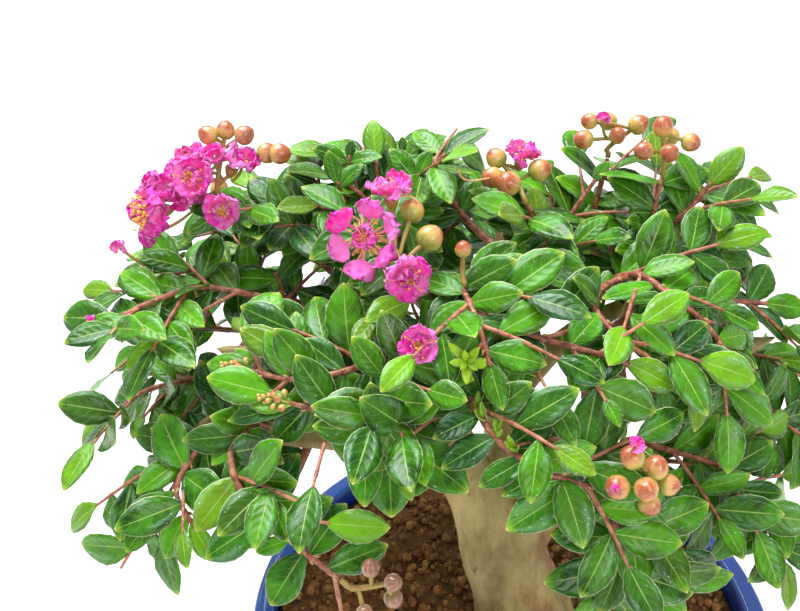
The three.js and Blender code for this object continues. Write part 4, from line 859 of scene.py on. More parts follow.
# Young shoots: thin reddish-brown bark with a slight gloss, flecked every 2 mm with pale cork or a scar
TWIG = mottled(
    "young_twig", [(0.3, "#5c2c1e"), (0.48, "#9a5240"), (0.66, "#c07c5e"), (0.95, "#c8a068")],
    330, 0.42, 1300, 0.3, patches=[("#c8a67c", 620, 0.56, 0.64), ("#59372a", 480, 0.6, 0.7)])
# Old bark: smooth and dull where it has peeled, in buff plates of a centimetre drawn out along the trunk,
# with patches of cinnamon, olive and cream 2 or 3 cm apart, and small dark scars
BARK = mottled(
    "crape_myrtle_bark", [(0.3, "#867446"), (0.45, "#b29a62"), (0.6, "#ceb77c"), (0.75, "#b89f66")],
    90, 0.7, 420, 0.5, stretch=(1, 1, 0.4),
    patches=[("#9a5f38", 38, 0.54, 0.66), ("#83853f", 30, 0.54, 0.7), ("#dcca96", 60, 0.6, 0.68),
             ("#5e4a30", 160, 0.62, 0.74)])
# Damp potting soil: matt, dark brown, with grains about 4 mm apart
SOIL = mottled(
    "moist_soil", [(0.25, "#33200e"), (0.5, "#724b24"), (0.72, "#9a6c3a"), (1.0, "#b98c50")],
    260, 0.9, 900, 0.8)
# Loose crumbs of the same soil: they have dried, so they are lighter, and each has a tone of its own
CRUMB = mottled(
    "soil_crumb", [(0.25, "#422a12"), (0.5, "#8a5c30"), (0.75, "#b4824a"), (1.0, "#d4ae72")],
    500, 0.92, 1600, 0.4)
# Soft steel wire with a brown lacquer: a dull metal gleam under the brown
WIRE = mottled("tie_wire_brown", [(0.3, "#4d3526"), (0.7, "#7a5a41")], 300, 0.45, 900, 0.1, Metallic=0.35)
# Moulded polyethylene mesh: near-black and dull
MESH = mottled("drain_mesh_plastic", [(0.3, "#1d1d1d"), (0.7, "#333333")], 200, 0.6, 700, 0.2)
GLAZE = glaze_material()
BUD = bud_material()
PETAL = petal_material()
# Green flower stalks that the sun has tinged straw and rust
STALK = mottled(
    "flower_stalk", [(0.3, "#8c9c3c"), (0.6, "#b09450"), (0.9, "#a0604a")], 500, 0.5, 1500, 0.1)
# The calyx is as fleshy as a bud's skin, and glossier than the stalk
CALYX = mottled(
    "calyx_skin", [(0.3, "#9aa04a"), (0.6, "#b98a50"), (0.9, "#a2573c")], 450, 0.4, 1200, 0.15)
# Filaments: orange-pink threads that catch the light
STAMEN = mottled("stamen_filament", [(0.3, "#e28a4e"), (0.7, "#f8c48c")], 600, 0.5, 1500, 0.05)
# Anthers covered in golden pollen: matt and grainy
ANTHER = mottled("anther", [(0.3, "#d98e1d"), (0.7, "#f6c845")], 900, 0.6, 2000, 0.1)


# What grows, by the same rules as the solids

def dome_point(bearing, elevation, share):
    """The ellipsoid's point at a bearing from the front and an elevation, scaled from its centre."""
    b, e = math.radians(bearing), math.radians(elevation)
    way = np.array([math.cos(e) * math.sin(b), -math.cos(e) * math.cos(b), math.sin(e)])
    return DOME_CENTRE + share * DOME_HALF * way


def dome_normal(point):
    """Outwards from the ellipsoid: the offset from its centre over the squares of its half axes."""
    return unit((point - DOME_CENTRE) / DOME_HALF ** 2)


def facing(point, random, jitter, lean=0):
    """The plane of a leaf or shoot: mostly facing out of the dome and up. Leaves also lean to the light."""
    tilt = np.array([random() - 0.5, random() - 0.5, random() - 0.5]) * jitter
    return unit(0.6 * dome_normal(point) + 0.4 * UP + lean * LIGHT_WAY + tilt)


def heading(tangent, normal, spread, side):
    """The stem's direction, turned by the spread to one side in the plane square to normal."""
    across = unit(np.cross(tangent, normal)) * side
    angle = math.radians(spread) if side else 0
    return unit(tangent * math.cos(angle) + across * math.sin(angle))


def pose_leaf(leaf, attempt):
    """A leaf of drawn size, spread, droop and width, rolled about its stem by the attempt's angle."""
    random = draws(leaf.id + 7)
    normal = facing(leaf.point, random, 0.7, getattr(leaf, "lean", LEAF_LEAN))
    size = (0.78 + 0.32 * random()) * getattr(leaf, "size", 1)
    spread = LEAF_SPREAD + 16 * (random() - 0.5)
    along = heading(leaf.tangent, normal, spread, leaf.side)
    along = unit(along - UP * 0.12 * random())
    along = turned(along, leaf.tangent, LEAF_ROLLS[attempt])
    flat = unit(normal - along * np.dot(normal, along))
    length = LEAF_LENGTH * size * (0.9 if leaf.end else 1)
    width = length * (LEAF_WIDTH_RATIO + 0.08 * (random() - 0.5))
    return Record(point=leaf.point, along=along, normal=flat, length=length, width=width,
                  arch=0.08 + 0.14 * random(), seed=leaf.id, youth=0.0)


def pose_large_leaf(leaf, attempt):
    """A listed leaf: flat to the dome at its bearing, then tipped by the attempt's angle."""
    normal = unit(0.6 * dome_normal(leaf.point) + 0.4 * UP)
    along = unit(leaf.tangent - normal * np.dot(leaf.tangent, normal))
    along = turned(along, normal, leaf.bearing)
    across = np.cross(normal, along)
    tip = LARGE_LEAF_TIPS[attempt]
    return Record(point=leaf.point, along=turned(along, across, tip), normal=turned(normal, across, tip),
                  length=leaf.length, width=leaf.length * leaf.ratio, arch=0.1, seed=leaf.id, youth=0.0)


def pose_shoot(shoot, attempt):
    """A side shoot of drawn spread and length, shorter towards its stem's end, and sagging a little."""
    random = draws(shoot.id + 3)
    normal = facing(shoot.point, random, 0.5)
    along = heading(shoot.tangent, normal, SHOOT_SPREAD + 12 * (random() - 0.5), shoot.side)
    along = unit(turned(along, shoot.tangent, SHOOT_ROLLS[attempt]))
    length = SHOOT_LENGTH * (0.75 + 0.4 * random()) * (1.1 - 0.35 * shoot.share)
    end = shoot.point + along * length - UP * 0.06 * length
    return Record(start=shoot.point, end=end, length=np.linalg.norm(end - shoot.point))


def shoot_leaves(shoot, posed):
    """Pairs of leaves along a shoot, one pitch apart, and one leaf at its end."""
    tangent = unit(posed.end - posed.start)
    leaves = []
    distance = FIRST_SHOOT_LEAF
    i = 0
    while distance < posed.length - BARE_SHOOT_END:
        for side in (1, -1):
            leaves.append(Record(point=posed.start + tangent * distance, tangent=tangent,
                                 id=shoot.id * 16 + i * 2 + side + 1, side=side, end=False))
        i += 1
        distance = FIRST_SHOOT_LEAF + i * SHOOT_PITCH
    leaves.append(Record(point=posed.end - tangent * 1.5, tangent=tangent, id=shoot.id * 16 + 15,
                         side=0, end=True))
    return leaves


def tip_of(pose):
    """The tip of a leaf: its length along, let down by its arch."""
    return pose.point + pose.along * pose.length - pose.normal * pose.arch * pose.length


def leaf_half_width(share):
    """Half-width at a share of the length, as a share of the widest: sin(pi s^1.08)^0.74."""
    return np.sin(math.pi * share ** 1.08) ** 0.74


# Solids' own points, in mm, tell which of a leaf's poses they hold

def corner_points(node):
    """All corners of a solid's mesh, in mm."""
    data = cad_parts[node].data
    co = np.empty(3 * len(data.vertices), np.float32)
    data.vertices.foreach_get("co", co)
    return co.reshape(-1, 3).astype(float) / MM


def holds(corners, point):
    """Whether a corner lies at the point, on each axis."""
    return np.min(np.abs(corners - point).max(axis=1)) < HELD_WITHIN


def held_pose(corners, item, pose, tries, mark):
    """The first pose whose mark is one of the solid's own corners, or None."""
    for attempt in range(tries):
        posed = pose(item, attempt)
        if holds(corners, mark(posed)):
            return posed
    return None


def shoot_mark(posed):
    """The first corner of the ring that ends a solid shoot."""
    return posed.end + first_side(unit(posed.end - posed.start)) * SHOOT_RADIUS


# Leaves placed so far, so that added ones lie clear of them. Each is sampled at four places along it by
# three across.

SAMPLES = np.array([(s, v) for s in (0.2, 0.45, 0.7, 0.95) for v in (-0.6, 0.0, 0.6)])
leaf_frames = []
leaf_samples = []


def sample_leaf(pose):
    """The sampled points of a leaf: out to its half-width, and down by its arch times the square of s."""
    across = np.cross(pose.normal, pose.along)
    s, v = SAMPLES[:, 0, None], SAMPLES[:, 1, None]
    half = pose.width / 2 * leaf_half_width(s)
    drop = pose.normal * pose.arch * pose.length * s * s
    return pose.point + pose.along * pose.length * s + across * half * v - drop


def inside(frames, points):
    """Whether any point lies in any leaf with its clearance: frames are (n, 5, 3), points (n, m, 3)."""
    base, along, across, normal, sizes = np.moveaxis(frames, 1, 0)[:, :, None]
    length, width, arch = np.moveaxis(sizes, -1, 0)
    away = points - base

    def reach(way):
        """How far each point lies along its leaf's own direction."""
        return np.einsum("nmk,nmk->nm", away, np.broadcast_to(way, away.shape))

    s = reach(along) / length
    aside = np.abs(reach(across))
    height = reach(normal) + arch * length * s * s
    within = (s > 0.05) & (s < 1)
    half = width / 2 * leaf_half_width(np.clip(s, 0.001, 0.999))
    return np.any(within & (aside < half) & (np.abs(height) < LEAF_CLEARANCE))


def frame_of(pose):
    """A leaf in five rows: its foot, its three directions, and its length, width and arch."""
    across = np.cross(pose.normal, pose.along)
    return np.stack([pose.point, pose.along, across, pose.normal, [pose.length, pose.width, pose.arch]])


def is_free(pose):
    """Whether neither this leaf's points lie in a placed leaf, nor a placed leaf's points in this one."""
    if not leaf_frames:
        return True
    mine, points = frame_of(pose), sample_leaf(pose)
    frames, samples = np.array(leaf_frames), np.array(leaf_samples)
    near = np.linalg.norm(samples[:, 4] - points[4], axis=1) < LEAF_REACH
    if not near.any():
        return True
    frames, samples = frames[near], samples[near]
    count = len(frames)
    return not (inside(frames, np.broadcast_to(points, (count, *points.shape)))
                or inside(np.broadcast_to(mine, (count, *mine.shape)), samples))


def keep_leaf(pose):
    """Counts a leaf among those placed."""
    leaf_frames.append(frame_of(pose))
    leaf_samples.append(sample_leaf(pose))


LOW_CORNER, HIGH_CORNER = np.array(CAD_BOX) / MM


def in_box(points):
    """Whether points lie in the box round all solids."""
    return np.all(points > LOW_CORNER) and np.all(points < HIGH_CORNER)


def in_view(points):
    """Where points in mm fall in the view, across and down, and their depth in mm."""
    pitch = math.radians(CAMERA_PITCH)
    away = np.atleast_2d(points) - np.array(CAMERA_PLACE) / MM
    depth = away @ [0, math.cos(pitch), -math.sin(pitch)]
    rise = away @ [0, math.sin(pitch), math.cos(pitch)]
    across = VIEW_CENTRE[0] + VIEW_SCALE * away[:, 0] / depth
    return np.stack([across, VIEW_CENTRE[1] - VIEW_SCALE * rise / depth, depth], axis=1)


def leaves_gaps(points):
    """Whether points keep clear of the openings, behind what stands in front, and below the skyline."""
    gaps, blooms = np.array(OPENINGS, float), np.array(IN_FRONT, float)
    seen = in_view(points)
    away = (seen[:, None, :2] - gaps[:, :2]) / gaps[:, 2:]
    over = (seen[:, None, :2] - blooms[:, :2]) / blooms[:, 2:4]
    hides = ((over ** 2).sum(axis=-1) < 1) & (seen[:, None, 2] < blooms[:, 4])
    edge = np.interp(seen[:, 0], *np.array(SKYLINE, float).T)
    return not np.any((away ** 2).sum(axis=-1) < 1) and not np.any(hides) and np.all(seen[:, 1] > edge)


# Shapes

def leaf_patch(pose, rows, columns):
    """A leaf: half-width sin(pi s^1.08)^0.74, arched down by the square of s, raised in a shallow V
    from its midrib and waved along its margin; it is thickest at the midrib."""
    random = draws(pose.seed + 11)
    tone, phase = random(), 2 * math.pi * random()
    fold, wave = 0.1 + 0.22 * random(), 0.03 + 0.05 * random()
    curl = 0.35 * (random() - 0.5)
    across = np.cross(pose.normal, pose.along)
    s = (0.5 - 0.5 * np.cos(math.pi * np.linspace(0.02, 0.985, rows)))[:, None]
    v = np.linspace(-1, 1, columns)[None]
    half = pose.width / 2 * leaf_half_width(s)
    lift = fold * half * np.abs(v) ** 1.3 - pose.arch * pose.length * s * s
    lift = lift + wave * pose.width * v * v * np.sin(9 * s + phase + 0.8 * np.sign(v)) * (1 - s * s)
    aside = half * v * (1 - 0.04 * np.abs(v) * fold) + curl * pose.length * 0.12 * s * s
    thick = 0.5 * LEAF_THICKNESS * (1 - 0.75 * v * v) + 0 * s
    centre = (pose.point + (pose.length * s)[..., None] * pose.along + aside[..., None] * across
              + lift[..., None] * pose.normal)
    shift = thick[..., None] * pose.normal
    end_aside = curl * pose.length * 0.12
    end = tip_of(pose) + across * end_aside
    uv = np.stack(np.broadcast_arrays(0.5 + 0.5 * v, s), axis=-1)
    return blade(centre + shift, centre - shift, pose.point, end, uv,
                 material=0, tone=tone, youth=pose.youth)


def twig_patch(line, start_radius, end_radius, nodes=(), tone=0.0, material=1):
    """A twig: a tapered rod along a smooth line, swollen a little where leaves leave it."""
    points = resample(smooth(line), 1.6)
    along = np.linspace(0, 1, len(points))
    radii = start_radius + (end_radius - start_radius) * along
    total = length_of(points)
    for distance in nodes:
        radii = radii * (1 + 0.28 * np.exp(-((along * total - distance) / 1.2) ** 2))
    return sweep(points, radii, 8, material=material, tone=tone)


def stipule_patches(line, nodes, radius):
    """A pair of small pointed scales at each leaf node, leaning along the stem."""
    patches = []
    for k, distance in enumerate(nodes):
        place = place_on(line, distance)
        side, other = basis(place.tangent)
        for turn in (1.0, 1.0 + math.pi):
            out = side * math.cos(turn + 1.6 * k) + other * math.sin(turn + 1.6 * k)
            foot = place.point + out * radius * 0.7
            tip = foot + out * 1.1 + place.tangent * 1.9
            bend = foot + out * 0.8 + place.tangent * 0.8
            patches.append(sweep([foot, bend, tip], [0.55, 0.45, 0.12], 5, material=1, tone=1.3))
    return patches


def stem_lines(routes, leaves):
    """Smoothed stems in even steps, which are longer where no large leaf is laid."""
    step = TWIG_STEP if leaves else 1.5 * TWIG_STEP
    return [resample(smooth(route), step) for route in routes]


def ring_sprays():
    """The sprays by rule: each stem starts inside the dome, bends over and ends on its skin."""
    sprays = []
    for name, elevation, start, bearings in RINGS:
        rise = math.cos(math.radians(elevation)) * UP
        for bearing in bearings:
            seat = dome_point(bearing, elevation, start) + 14 * rise
            bend = dome_point(bearing + 4, elevation, RING_BEND) + 12 * rise
            sprays.append((f"{name}_{bearing}", [[seat, bend, dome_point(bearing + 6, elevation, 1)]], []))
    return sprays


ALL_SPRAYS = SPRAYS + ring_sprays() + [CREST_SPRAY]
# Sprays with a bunch or a flower at the end of their main stem, where the others have a leaf
CARRYING = {spray for name, spray, *_ in BUNCHES if name not in BUNCH_BESIDE}
CARRYING |= {spray for _, spray, *_ in LONE_BLOOMS}


def grow(index, name, routes, large):
    """Everything that a spray may carry: a leaf pair at each node, where a shoot may stand for one leaf.

    The nodes are one pitch apart, and shoots take turns to left and right. Extra shoots are this script's
    own.
    """
    stems = stem_lines(routes, large)
    spray = Record(name=name, node=f"spray_{name}", stems=stems, leaves=[], shoots=[], extra_shoots=[],
                   large=[])
    for k, (which, distance, bearing, length, ratio) in enumerate(large):
        place = place_on(stems[which], distance)
        spray.large.append(Record(point=place.point, tangent=place.tangent, bearing=bearing,
                                  length=length, ratio=ratio, id=FINE_SEED + index * 100 + k))
    for which, line in enumerate(stems):
        total = length_of(line)
        first = (index + 1) * 1000 + which * 300
        i = 0
        while FIRST_LEAF + i * LEAF_PITCH < total - 2:
            distance = FIRST_LEAF + i * LEAF_PITCH
            place = place_on(line, distance)
            node = dict(point=place.point, tangent=place.tangent, share=distance / total, stem=which)
            shoot_side = [0, 1, 0, 0, -1, 0][i % 6]
            if shoot_side:
                spray.shoots.append(Record(**node, id=first + i * 4, side=shoot_side))
            else:
                spray.extra_shoots.append(Record(**node, id=first + i * 4 + 3, side=1 if i % 2 else -1))
            for side in (1, -1):
                if side != shoot_side:
                    spray.leaves.append(Record(**node, id=first + i * 4 + 1 + side, side=side, end=False))
            i += 1
        if name not in CARRYING or which > 0:
            place = place_on(line, total - 1.5)
            spray.leaves.append(Record(point=place.point, tangent=place.tangent, id=first + 299,
                                       side=0, end=True))
    return spray


def make_youth(seed, end):
    """Leaves at the ends of stems are younger and brighter; so are a few others."""
    value = draws(seed + 29)()
    if end and value > 0.5:
        return 0.1 + 0.25 * value
    return 0.4 if value > 0.97 else 0.1 * value


def free_pose(leaf):
    """The first clear pose at full size, or at less for the leaf that ends a stem."""
    for size in (1, 0.75, 0.5) if leaf.end else (1,):
        for attempt in range(len(LEAF_ROLLS)):
            posed = pose_leaf(leaf, attempt)
            posed.length *= size
            posed.width *= size
            if in_box(tip_of(posed)) and leaves_gaps(sample_leaf(posed)) and is_free(posed):
                return posed
    return None


def place_leaves(leaves, share=1):
    """Poses of the leaves that find a clear place."""
    placed = []
    for leaf in leaves:
        posed = free_pose(leaf)
        if posed:
            posed.youth = share * make_youth(leaf.id, leaf.end)
            keep_leaf(posed)
            placed.append(posed)
    return placed


def shoot_fits(posed):
    """Whether a side shoot stays in the box and out of the openings in the view."""
    return in_box(posed.end) and leaves_gaps(np.stack([posed.start, posed.end]))


def take_held(spray):
    """The large leaves, shoots and leaves that the solid spray holds; its other leaves wait."""
    corners = corner_points(spray.node)
    spray.kept, spray.waiting, spray.rods = [], [], []
    for leaf in spray.large:
        posed = held_pose(corners, leaf, pose_large_leaf, len(LARGE_LEAF_TIPS), tip_of)
        if posed:
            spray.kept.append(posed)
    later = list(spray.leaves)
    for shoot in spray.shoots:
        posed = held_pose(corners, shoot, pose_shoot, len(SHOOT_ROLLS), shoot_mark)
        if posed:
            spray.rods.append(posed)
            later += shoot_leaves(shoot, posed)
    for leaf in later:
        posed = held_pose(corners, leaf, pose_leaf, len(LEAF_ROLLS), tip_of)
        if posed:
            posed.youth = make_youth(leaf.id, leaf.end)
            spray.kept.append(posed)
        else:
            spray.waiting.append(leaf)
    for posed in spray.kept:
        keep_leaf(posed)


def fill_out(spray):
    """The leaves that waited, and extra side shoots where at least two of their leaves fit."""
    spray.kept += place_leaves(spray.waiting)
    for shoot in spray.extra_shoots:
        posed = pose_shoot(shoot, 0)
        if shoot_fits(posed):
            placed = place_leaves(shoot_leaves(shoot, posed))
            if len(placed) > 1:
                spray.rods.append(posed)
                spray.kept += placed


def rod_line(rod):
    """A side shoot's route, arched up by 0.03 of its length."""
    return [rod.start, (rod.start + rod.end) / 2 + UP * 0.03 * rod.length, rod.end]


def make_spray(spray):
    """A spray's stems, side shoots and leaves, in place of its solid."""
    patches = []
    for which, line in enumerate(spray.stems):
        back = line[0] - unit(line[1] - line[0]) * (0.5 if which == 0 else 0)
        nodes = np.arange(FIRST_LEAF, length_of(line) - 2, LEAF_PITCH)
        patches.append(twig_patch(np.vstack([back, line[1:]]), 1.15, 0.8, nodes))
        if spray.large:
            patches += stipule_patches(line, nodes, 1.0)
    for rod in spray.rods:
        nodes = np.arange(FIRST_SHOOT_LEAF, rod.length - BARE_SHOOT_END, SHOOT_PITCH)
        patches.append(twig_patch(rod_line(rod), 0.75, 0.5, nodes, 0.3))
    for pose in spray.kept:
        patches.append(leaf_patch(pose, *(LARGE_LEAF if pose.seed >= FINE_SEED else SMALL_LEAF)))
    piece = make_piece(f"leafy_{spray.name}", patches, [LEAF, TWIG])
    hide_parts(spray.node)


# The leaves that any solid holds come first, so that no added leaf takes their room
grown = [grow(index, *spray) for index, spray in enumerate(ALL_SPRAYS)]
for spray in grown:
    take_held(spray)
for spray in grown:
    fill_out(spray)
for spray in grown:
    make_spray(spray)


# Trunk, limbs and branches

def limb_tube(name):
    """A limb: a rod along its smoothed stations, whose radius runs evenly from one to the next.

    A thin limb goes on for 9 mm and tapers to nothing.
    """
    stations = np.array(LIMBS[name], float)
    if stations[-1, 3] < 3.5:
        onward = unit(stations[-1, :3] - stations[-2, :3])
        stations = np.vstack([stations, [*(stations[-1, :3] + onward * 9), 0.7]])
    line = smooth(stations, 6)
    radii = np.interp(np.arange(len(line)) / 6, np.arange(len(stations)), stations[:, 3])
    return sweep(line, radii, 20)


def root_tube(bearing, length, radius):
    """A surface root: a rod from the trunk's foot that dips under the soil and tapers to 0.3."""
    angle = math.radians(bearing)
    centre = np.array([*LIMBS["trunk"][1][:2], 0])
    way = np.array([math.cos(angle), math.sin(angle), 0])
    reaches = [(4, SOIL_LEVEL + 9), (length * 0.6, SOIL_LEVEL + 3), (length, SOIL_LEVEL - 8)]
    line = smooth([centre + way * out + UP * height for out, height in reaches], 8)
    radii = np.interp(np.linspace(0, 2, len(line)), [0, 1, 2], [radius, radius * 0.6, radius * 0.3])
    return sweep(line, radii, 14)


def fork_points():
    """Places where a branch may leave a limb, each with the limb's radius there."""
    places = []
    for name, stations in LIMBS.items():
        if name == "trunk":
            continue
        line = smooth(stations, 4)
        radii = np.interp(np.arange(len(line)) / 4, np.arange(len(stations)), np.array(stations)[:, 3])
        places += list(zip(line[4:], radii[4:]))
    return places


PLACES = fork_points()


def branch_line(end, direction):
    """A quadratic curve from the nearest fitting place on a limb to end, arriving along direction."""
    def cost(place):
        """The way there, and more for places above the end or ahead of it."""
        back = place[0] - end
        above, ahead = max(0, back[2]), max(0, np.dot(back, direction))
        return np.linalg.norm(back) + 1.2 * above + 0.5 * ahead

    point, radius = min(PLACES, key=cost)
    control = end - direction * 0.45 * np.linalg.norm(point - end)
    t = np.linspace(0, 1, 12)[:, None]
    return (1 - t) ** 2 * point + 2 * t * (1 - t) * control + t * t * end, min(radius * 0.8, 3)


def modified(piece):
    """The mesh that a piece's modifiers make."""
    return bpy.data.meshes.new_from_object(piece.evaluated_get(bpy.context.evaluated_depsgraph_get()))


def remeshed(patches, voxel):
    """The patches as one skin: a voxel remesh joins them, and smoothing rounds the forks."""
    rough = make_piece("rough_wood", patches, [])
    remesh = rough.modifiers.new("skin", "REMESH")
    remesh.mode = "VOXEL"
    remesh.voxel_size = voxel * MM
    soften = rough.modifiers.new("soften", "SMOOTH")
    soften.iterations = 8
    soften.factor = 0.5
    mesh = modified(rough)
    bpy.data.objects.remove(rough)
    return mesh


def make_trunk():
    """Trunk, limbs and roots as one skin, with shallow flutes and knobs that fade above the fork."""
    patches = [limb_tube(name) for name in LIMBS] + [root_tube(*root) for root in ROOTS]
    mesh = remeshed(patches, 1.3)
    count = len(mesh.vertices)
    co = np.empty(3 * count, np.float32)
    normals = np.empty(3 * count, np.float32)
    mesh.vertices.foreach_get("co", co)
    mesh.vertex_normals.foreach_get("vector", normals)
    co, normals = co.reshape(-1, 3) / MM, normals.reshape(-1, 3)
    # The relief is full up to 110 mm and a quarter from 155 mm
    weight = np.clip((170 - co[:, 2]) / 60, 0.25, 1)
    relief = 0.9 * rumple(co * [1, 1, 0.35], 22, seed=5) + 0.25 * rumple(co, 6, seed=6, octaves=2)
    co += normals * (relief * weight)[:, None]
    mesh.vertices.foreach_set("co", (co * MM).astype(np.float32).ravel())
    mesh.update()
    mesh.shade_smooth()
    mesh.materials.clear()
    mesh.materials.append(BARK)
    piece = link("trunk_and_limbs", mesh)
    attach(piece, "root")
    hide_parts("trunk")


def make_branches():
    """The branches that carry the sprays: each ends a gap short of its spray's stem."""
    patches = []
    for spray in grown:
        start = place_on(spray.stems[0], 0)
        line, radius = branch_line(start.point - start.tangent * GAP, start.tangent)
        patches.append(twig_patch(line, radius, BRANCH_END_RADIUS * 0.85, material=0, tone=-0.2))
    make_piece("branches", patches, [BARK])


make_trunk()
make_branches()


# Inner twigs

def inner_tips():
    """Tips spread by the golden angle over 0.72-0.85 of the dome, then those along its crest.

    Each comes with its direction, its bearing and its manner: a sprig's leaves are smaller and lean more
    to the light.
    """
    for k in range(INNER_TWIGS):
        random = draws(TIP_SEED + k)
        bearing = (k * GOLDEN_ANGLE) % 360
        elevation = math.degrees(math.asin(0.04 + 0.93 * (k + 0.5) / INNER_TWIGS))
        tip = dome_point(bearing, elevation, 0.72 + 0.13 * random())
        outward = dome_normal(tip)
        sideways = 0.4 * np.cross(UP, outward) * (random() - 0.5)
        yield tip, unit(outward + 0.5 * UP * (random() - 0.3) + sideways), bearing, {}
    for k, tip in enumerate(CREST_TIPS):
        random = draws(SPRIG_SEED + k)
        direction = unit([random() - 0.5, 0.2, 1.2])
        yield np.array(tip, float), direction, 180 + 45 * (k % 2), dict(lean=1.3, size=0.72)


def inner_twig(seed, line, direction, manner):
    """The leaves and side shoots that a twig may carry on its last 60 mm, or a sprig on its last 30."""
    total = length_of(line)
    leaves, rods = [], []
    pitch = LEAF_PITCH * (0.7 if manner else 1)
    reach = min(total * 0.75, 30 if manner else 60)
    i = 0
    while i * pitch < reach:
        place = place_on(line, total - 3 - i * pitch)
        node = dict(point=place.point, tangent=place.tangent)
        ident = seed + i * 8
        for side in (1, -1):
            leaves.append(Record(**node, **manner, id=ident + side + 1, side=side, end=False))
        if i % 2 == 1 and not manner:
            shoot = Record(**node, id=ident + 4, side=1 if i % 4 == 1 else -1, share=0.5)
            posed = pose_shoot(shoot, 0)
            if shoot_fits(posed):
                rods.append(posed)
                leaves += shoot_leaves(shoot, posed)
        i += 1
    leaves.append(Record(point=line[-1] - direction * 1.5, tangent=direction, **manner,
                         id=seed + 399, side=0, end=True))
    return leaves, rods


def make_inner_twigs():
    """Twigs from the nearest limb to each tip, kept where enough leaves fit, in eight sectors."""
    groups = [[] for _ in range(INNER_PIECES)]
    for k, (tip, direction, bearing, manner) in enumerate(inner_tips()):
        if not leaves_gaps(tip):
            continue
        line, radius = branch_line(tip, direction)
        leaves, rods = inner_twig(INNER_SEED + k * 400, line, direction, manner)
        placed = place_leaves(leaves, 0.4)
        if len(placed) > (1 if manner else 5):
            group = groups[int(bearing // (360 / INNER_PIECES))]
            group.append(twig_patch(line, min(radius, 1.8), 0.6))
            group += [twig_patch(rod_line(rod), 0.75, 0.5) for rod in rods]
            group += [leaf_patch(posed, *SMALL_LEAF) for posed in placed]
    for index, patches in enumerate(groups):
        make_piece(f"inner_twigs_{index + 1}", patches, [LEAF, TWIG])


make_inner_twigs()


# Buds and flowers

def bud_patch(centre, axis, radius, tone, material=0):
    """A bud: a sphere drawn out to a blunt point, with six shallow grooves down to its foot."""
    side, other = basis(axis)
    rise = np.linspace(-0.92, 1.0, 13)[:-1]
    girth = np.sqrt(1 - np.abs(rise) ** 2.2) * (1 - 0.12 * np.clip(rise, 0, 1))
    angle = round_angles(24)
    seam = np.exp(-((np.mod(angle * 6 / (2 * math.pi) + 0.5, 1) - 0.5) / 0.16) ** 2)
    r = radius * girth[:, None] * (1 - 0.045 * seam * np.clip(1.1 - np.abs(rise), 0, 1)[:, None])
    height = radius * (rise + 0.1 * np.clip(rise, 0, 1) ** 4)
    grid = centre + height[:, None, None] * axis + spoke(side, other, angle, r)
    return shell(grid, centre - axis * radius * 0.94, centre + axis * radius * 1.12,
                 material=material, tone=tone)


def flower_at(centre, axis, radius, seed):
    """A flower's place and frame: its axis and two directions square to it."""
    side, other = basis(axis)
    return Record(centre=centre, axis=axis, side=side, other=other, radius=radius, seed=seed)


def petal_way(bloom, index, size, random):
    """Where a petal points and how far it reaches: a sixth of a turn each, moved a little by its draws."""
    angle = 2 * math.pi * (index + 0.5) / PETAL_COUNT + 0.1 * (random() - 0.5)
    out = bloom.side * math.cos(angle) + bloom.other * math.sin(angle)
    return out, bloom.radius * size * (0.92 + 0.16 * random())


def petal_patch(bloom, index, lift, size, opens=0.3):
    """A petal: a slender claw that opens, at a share of its length, into a round limb,
    which is crinkled by waves that grow to its rim."""
    # The outer petals have whole numbers and the solids' own draws
    outer = index == int(index)
    random = draws(bloom.seed + int(index) if outer else bloom.seed + 31 + int(10 * index))
    out, reach = petal_way(bloom, index, size, random)
    across = np.cross(bloom.axis, out)
    phases = [2 * math.pi * random() for _ in range(6)]
    twist = 0.9 * (random() - 0.5)
    s = np.linspace(0.03, 0.985, PETAL_GRID[0])[:, None]
    v = np.linspace(-1, 1, PETAL_GRID[1])[None]
    limb = np.clip((s - opens) / (1 - opens), 0, 1)
    disc = np.sqrt(np.clip(1 - (2 * limb - 1) ** 2, 0, 1)) ** 0.8
    frill = 1 + 0.07 * np.sin(14 * limb + phases[5]) * limb
    half = 0.4 + 0.62 * reach * (1 - opens) ** 0.86 * disc * frill
    r = 0.7 + (reach - 0.7) * s * (1 + 0.05 * np.sin(9 * v + phases[1]) * limb)
    r = r - 0.06 * reach * limb * v * v
    near_rim = np.maximum(np.abs(v), limb) ** 1.5
    ruffle = (0.9 * np.sin(8 * v + phases[0] + 2 * limb) * near_rim
              + 0.8 * np.sin(15 * v * limb + phases[2] + 6 * limb) * near_rim ** 2
              + 0.7 * np.sin(19 * limb + phases[3] + 4 * v) * np.abs(v)
              + 0.35 * np.sin(31 * v + phases[4]) * np.sin(23 * limb) * near_rim ** 3)
    height = 0.3 + 0.16 * bloom.radius * limb + 0.11 * bloom.radius * ruffle * limb ** 0.6
    height = height + twist * half * v * limb + 0.25 * reach * limb * v * v * math.sin(phases[4])
    aside = half * v * (1 - 0.12 * np.abs(ruffle) * limb)
    aside = aside + 0.04 * reach * limb * np.sin(13 * s + phases[2])
    level, steep = math.cos(lift), math.sin(lift)
    centre = (bloom.centre + (r * level - height * steep)[..., None] * out
              + (r * steep + height * level)[..., None] * bloom.axis + aside[..., None] * across)
    shift = 0.11 * (bloom.axis * level - out * steep)
    end = centre[-1].mean(axis=0) + (out * level + bloom.axis * steep) * 0.12
    uv = np.stack(np.broadcast_arrays(0.5 + 0.5 * v, s), axis=-1)
    return blade(centre + shift, centre - shift, bloom.centre + out * 0.5, end, uv,
                 material=0, tone=random())


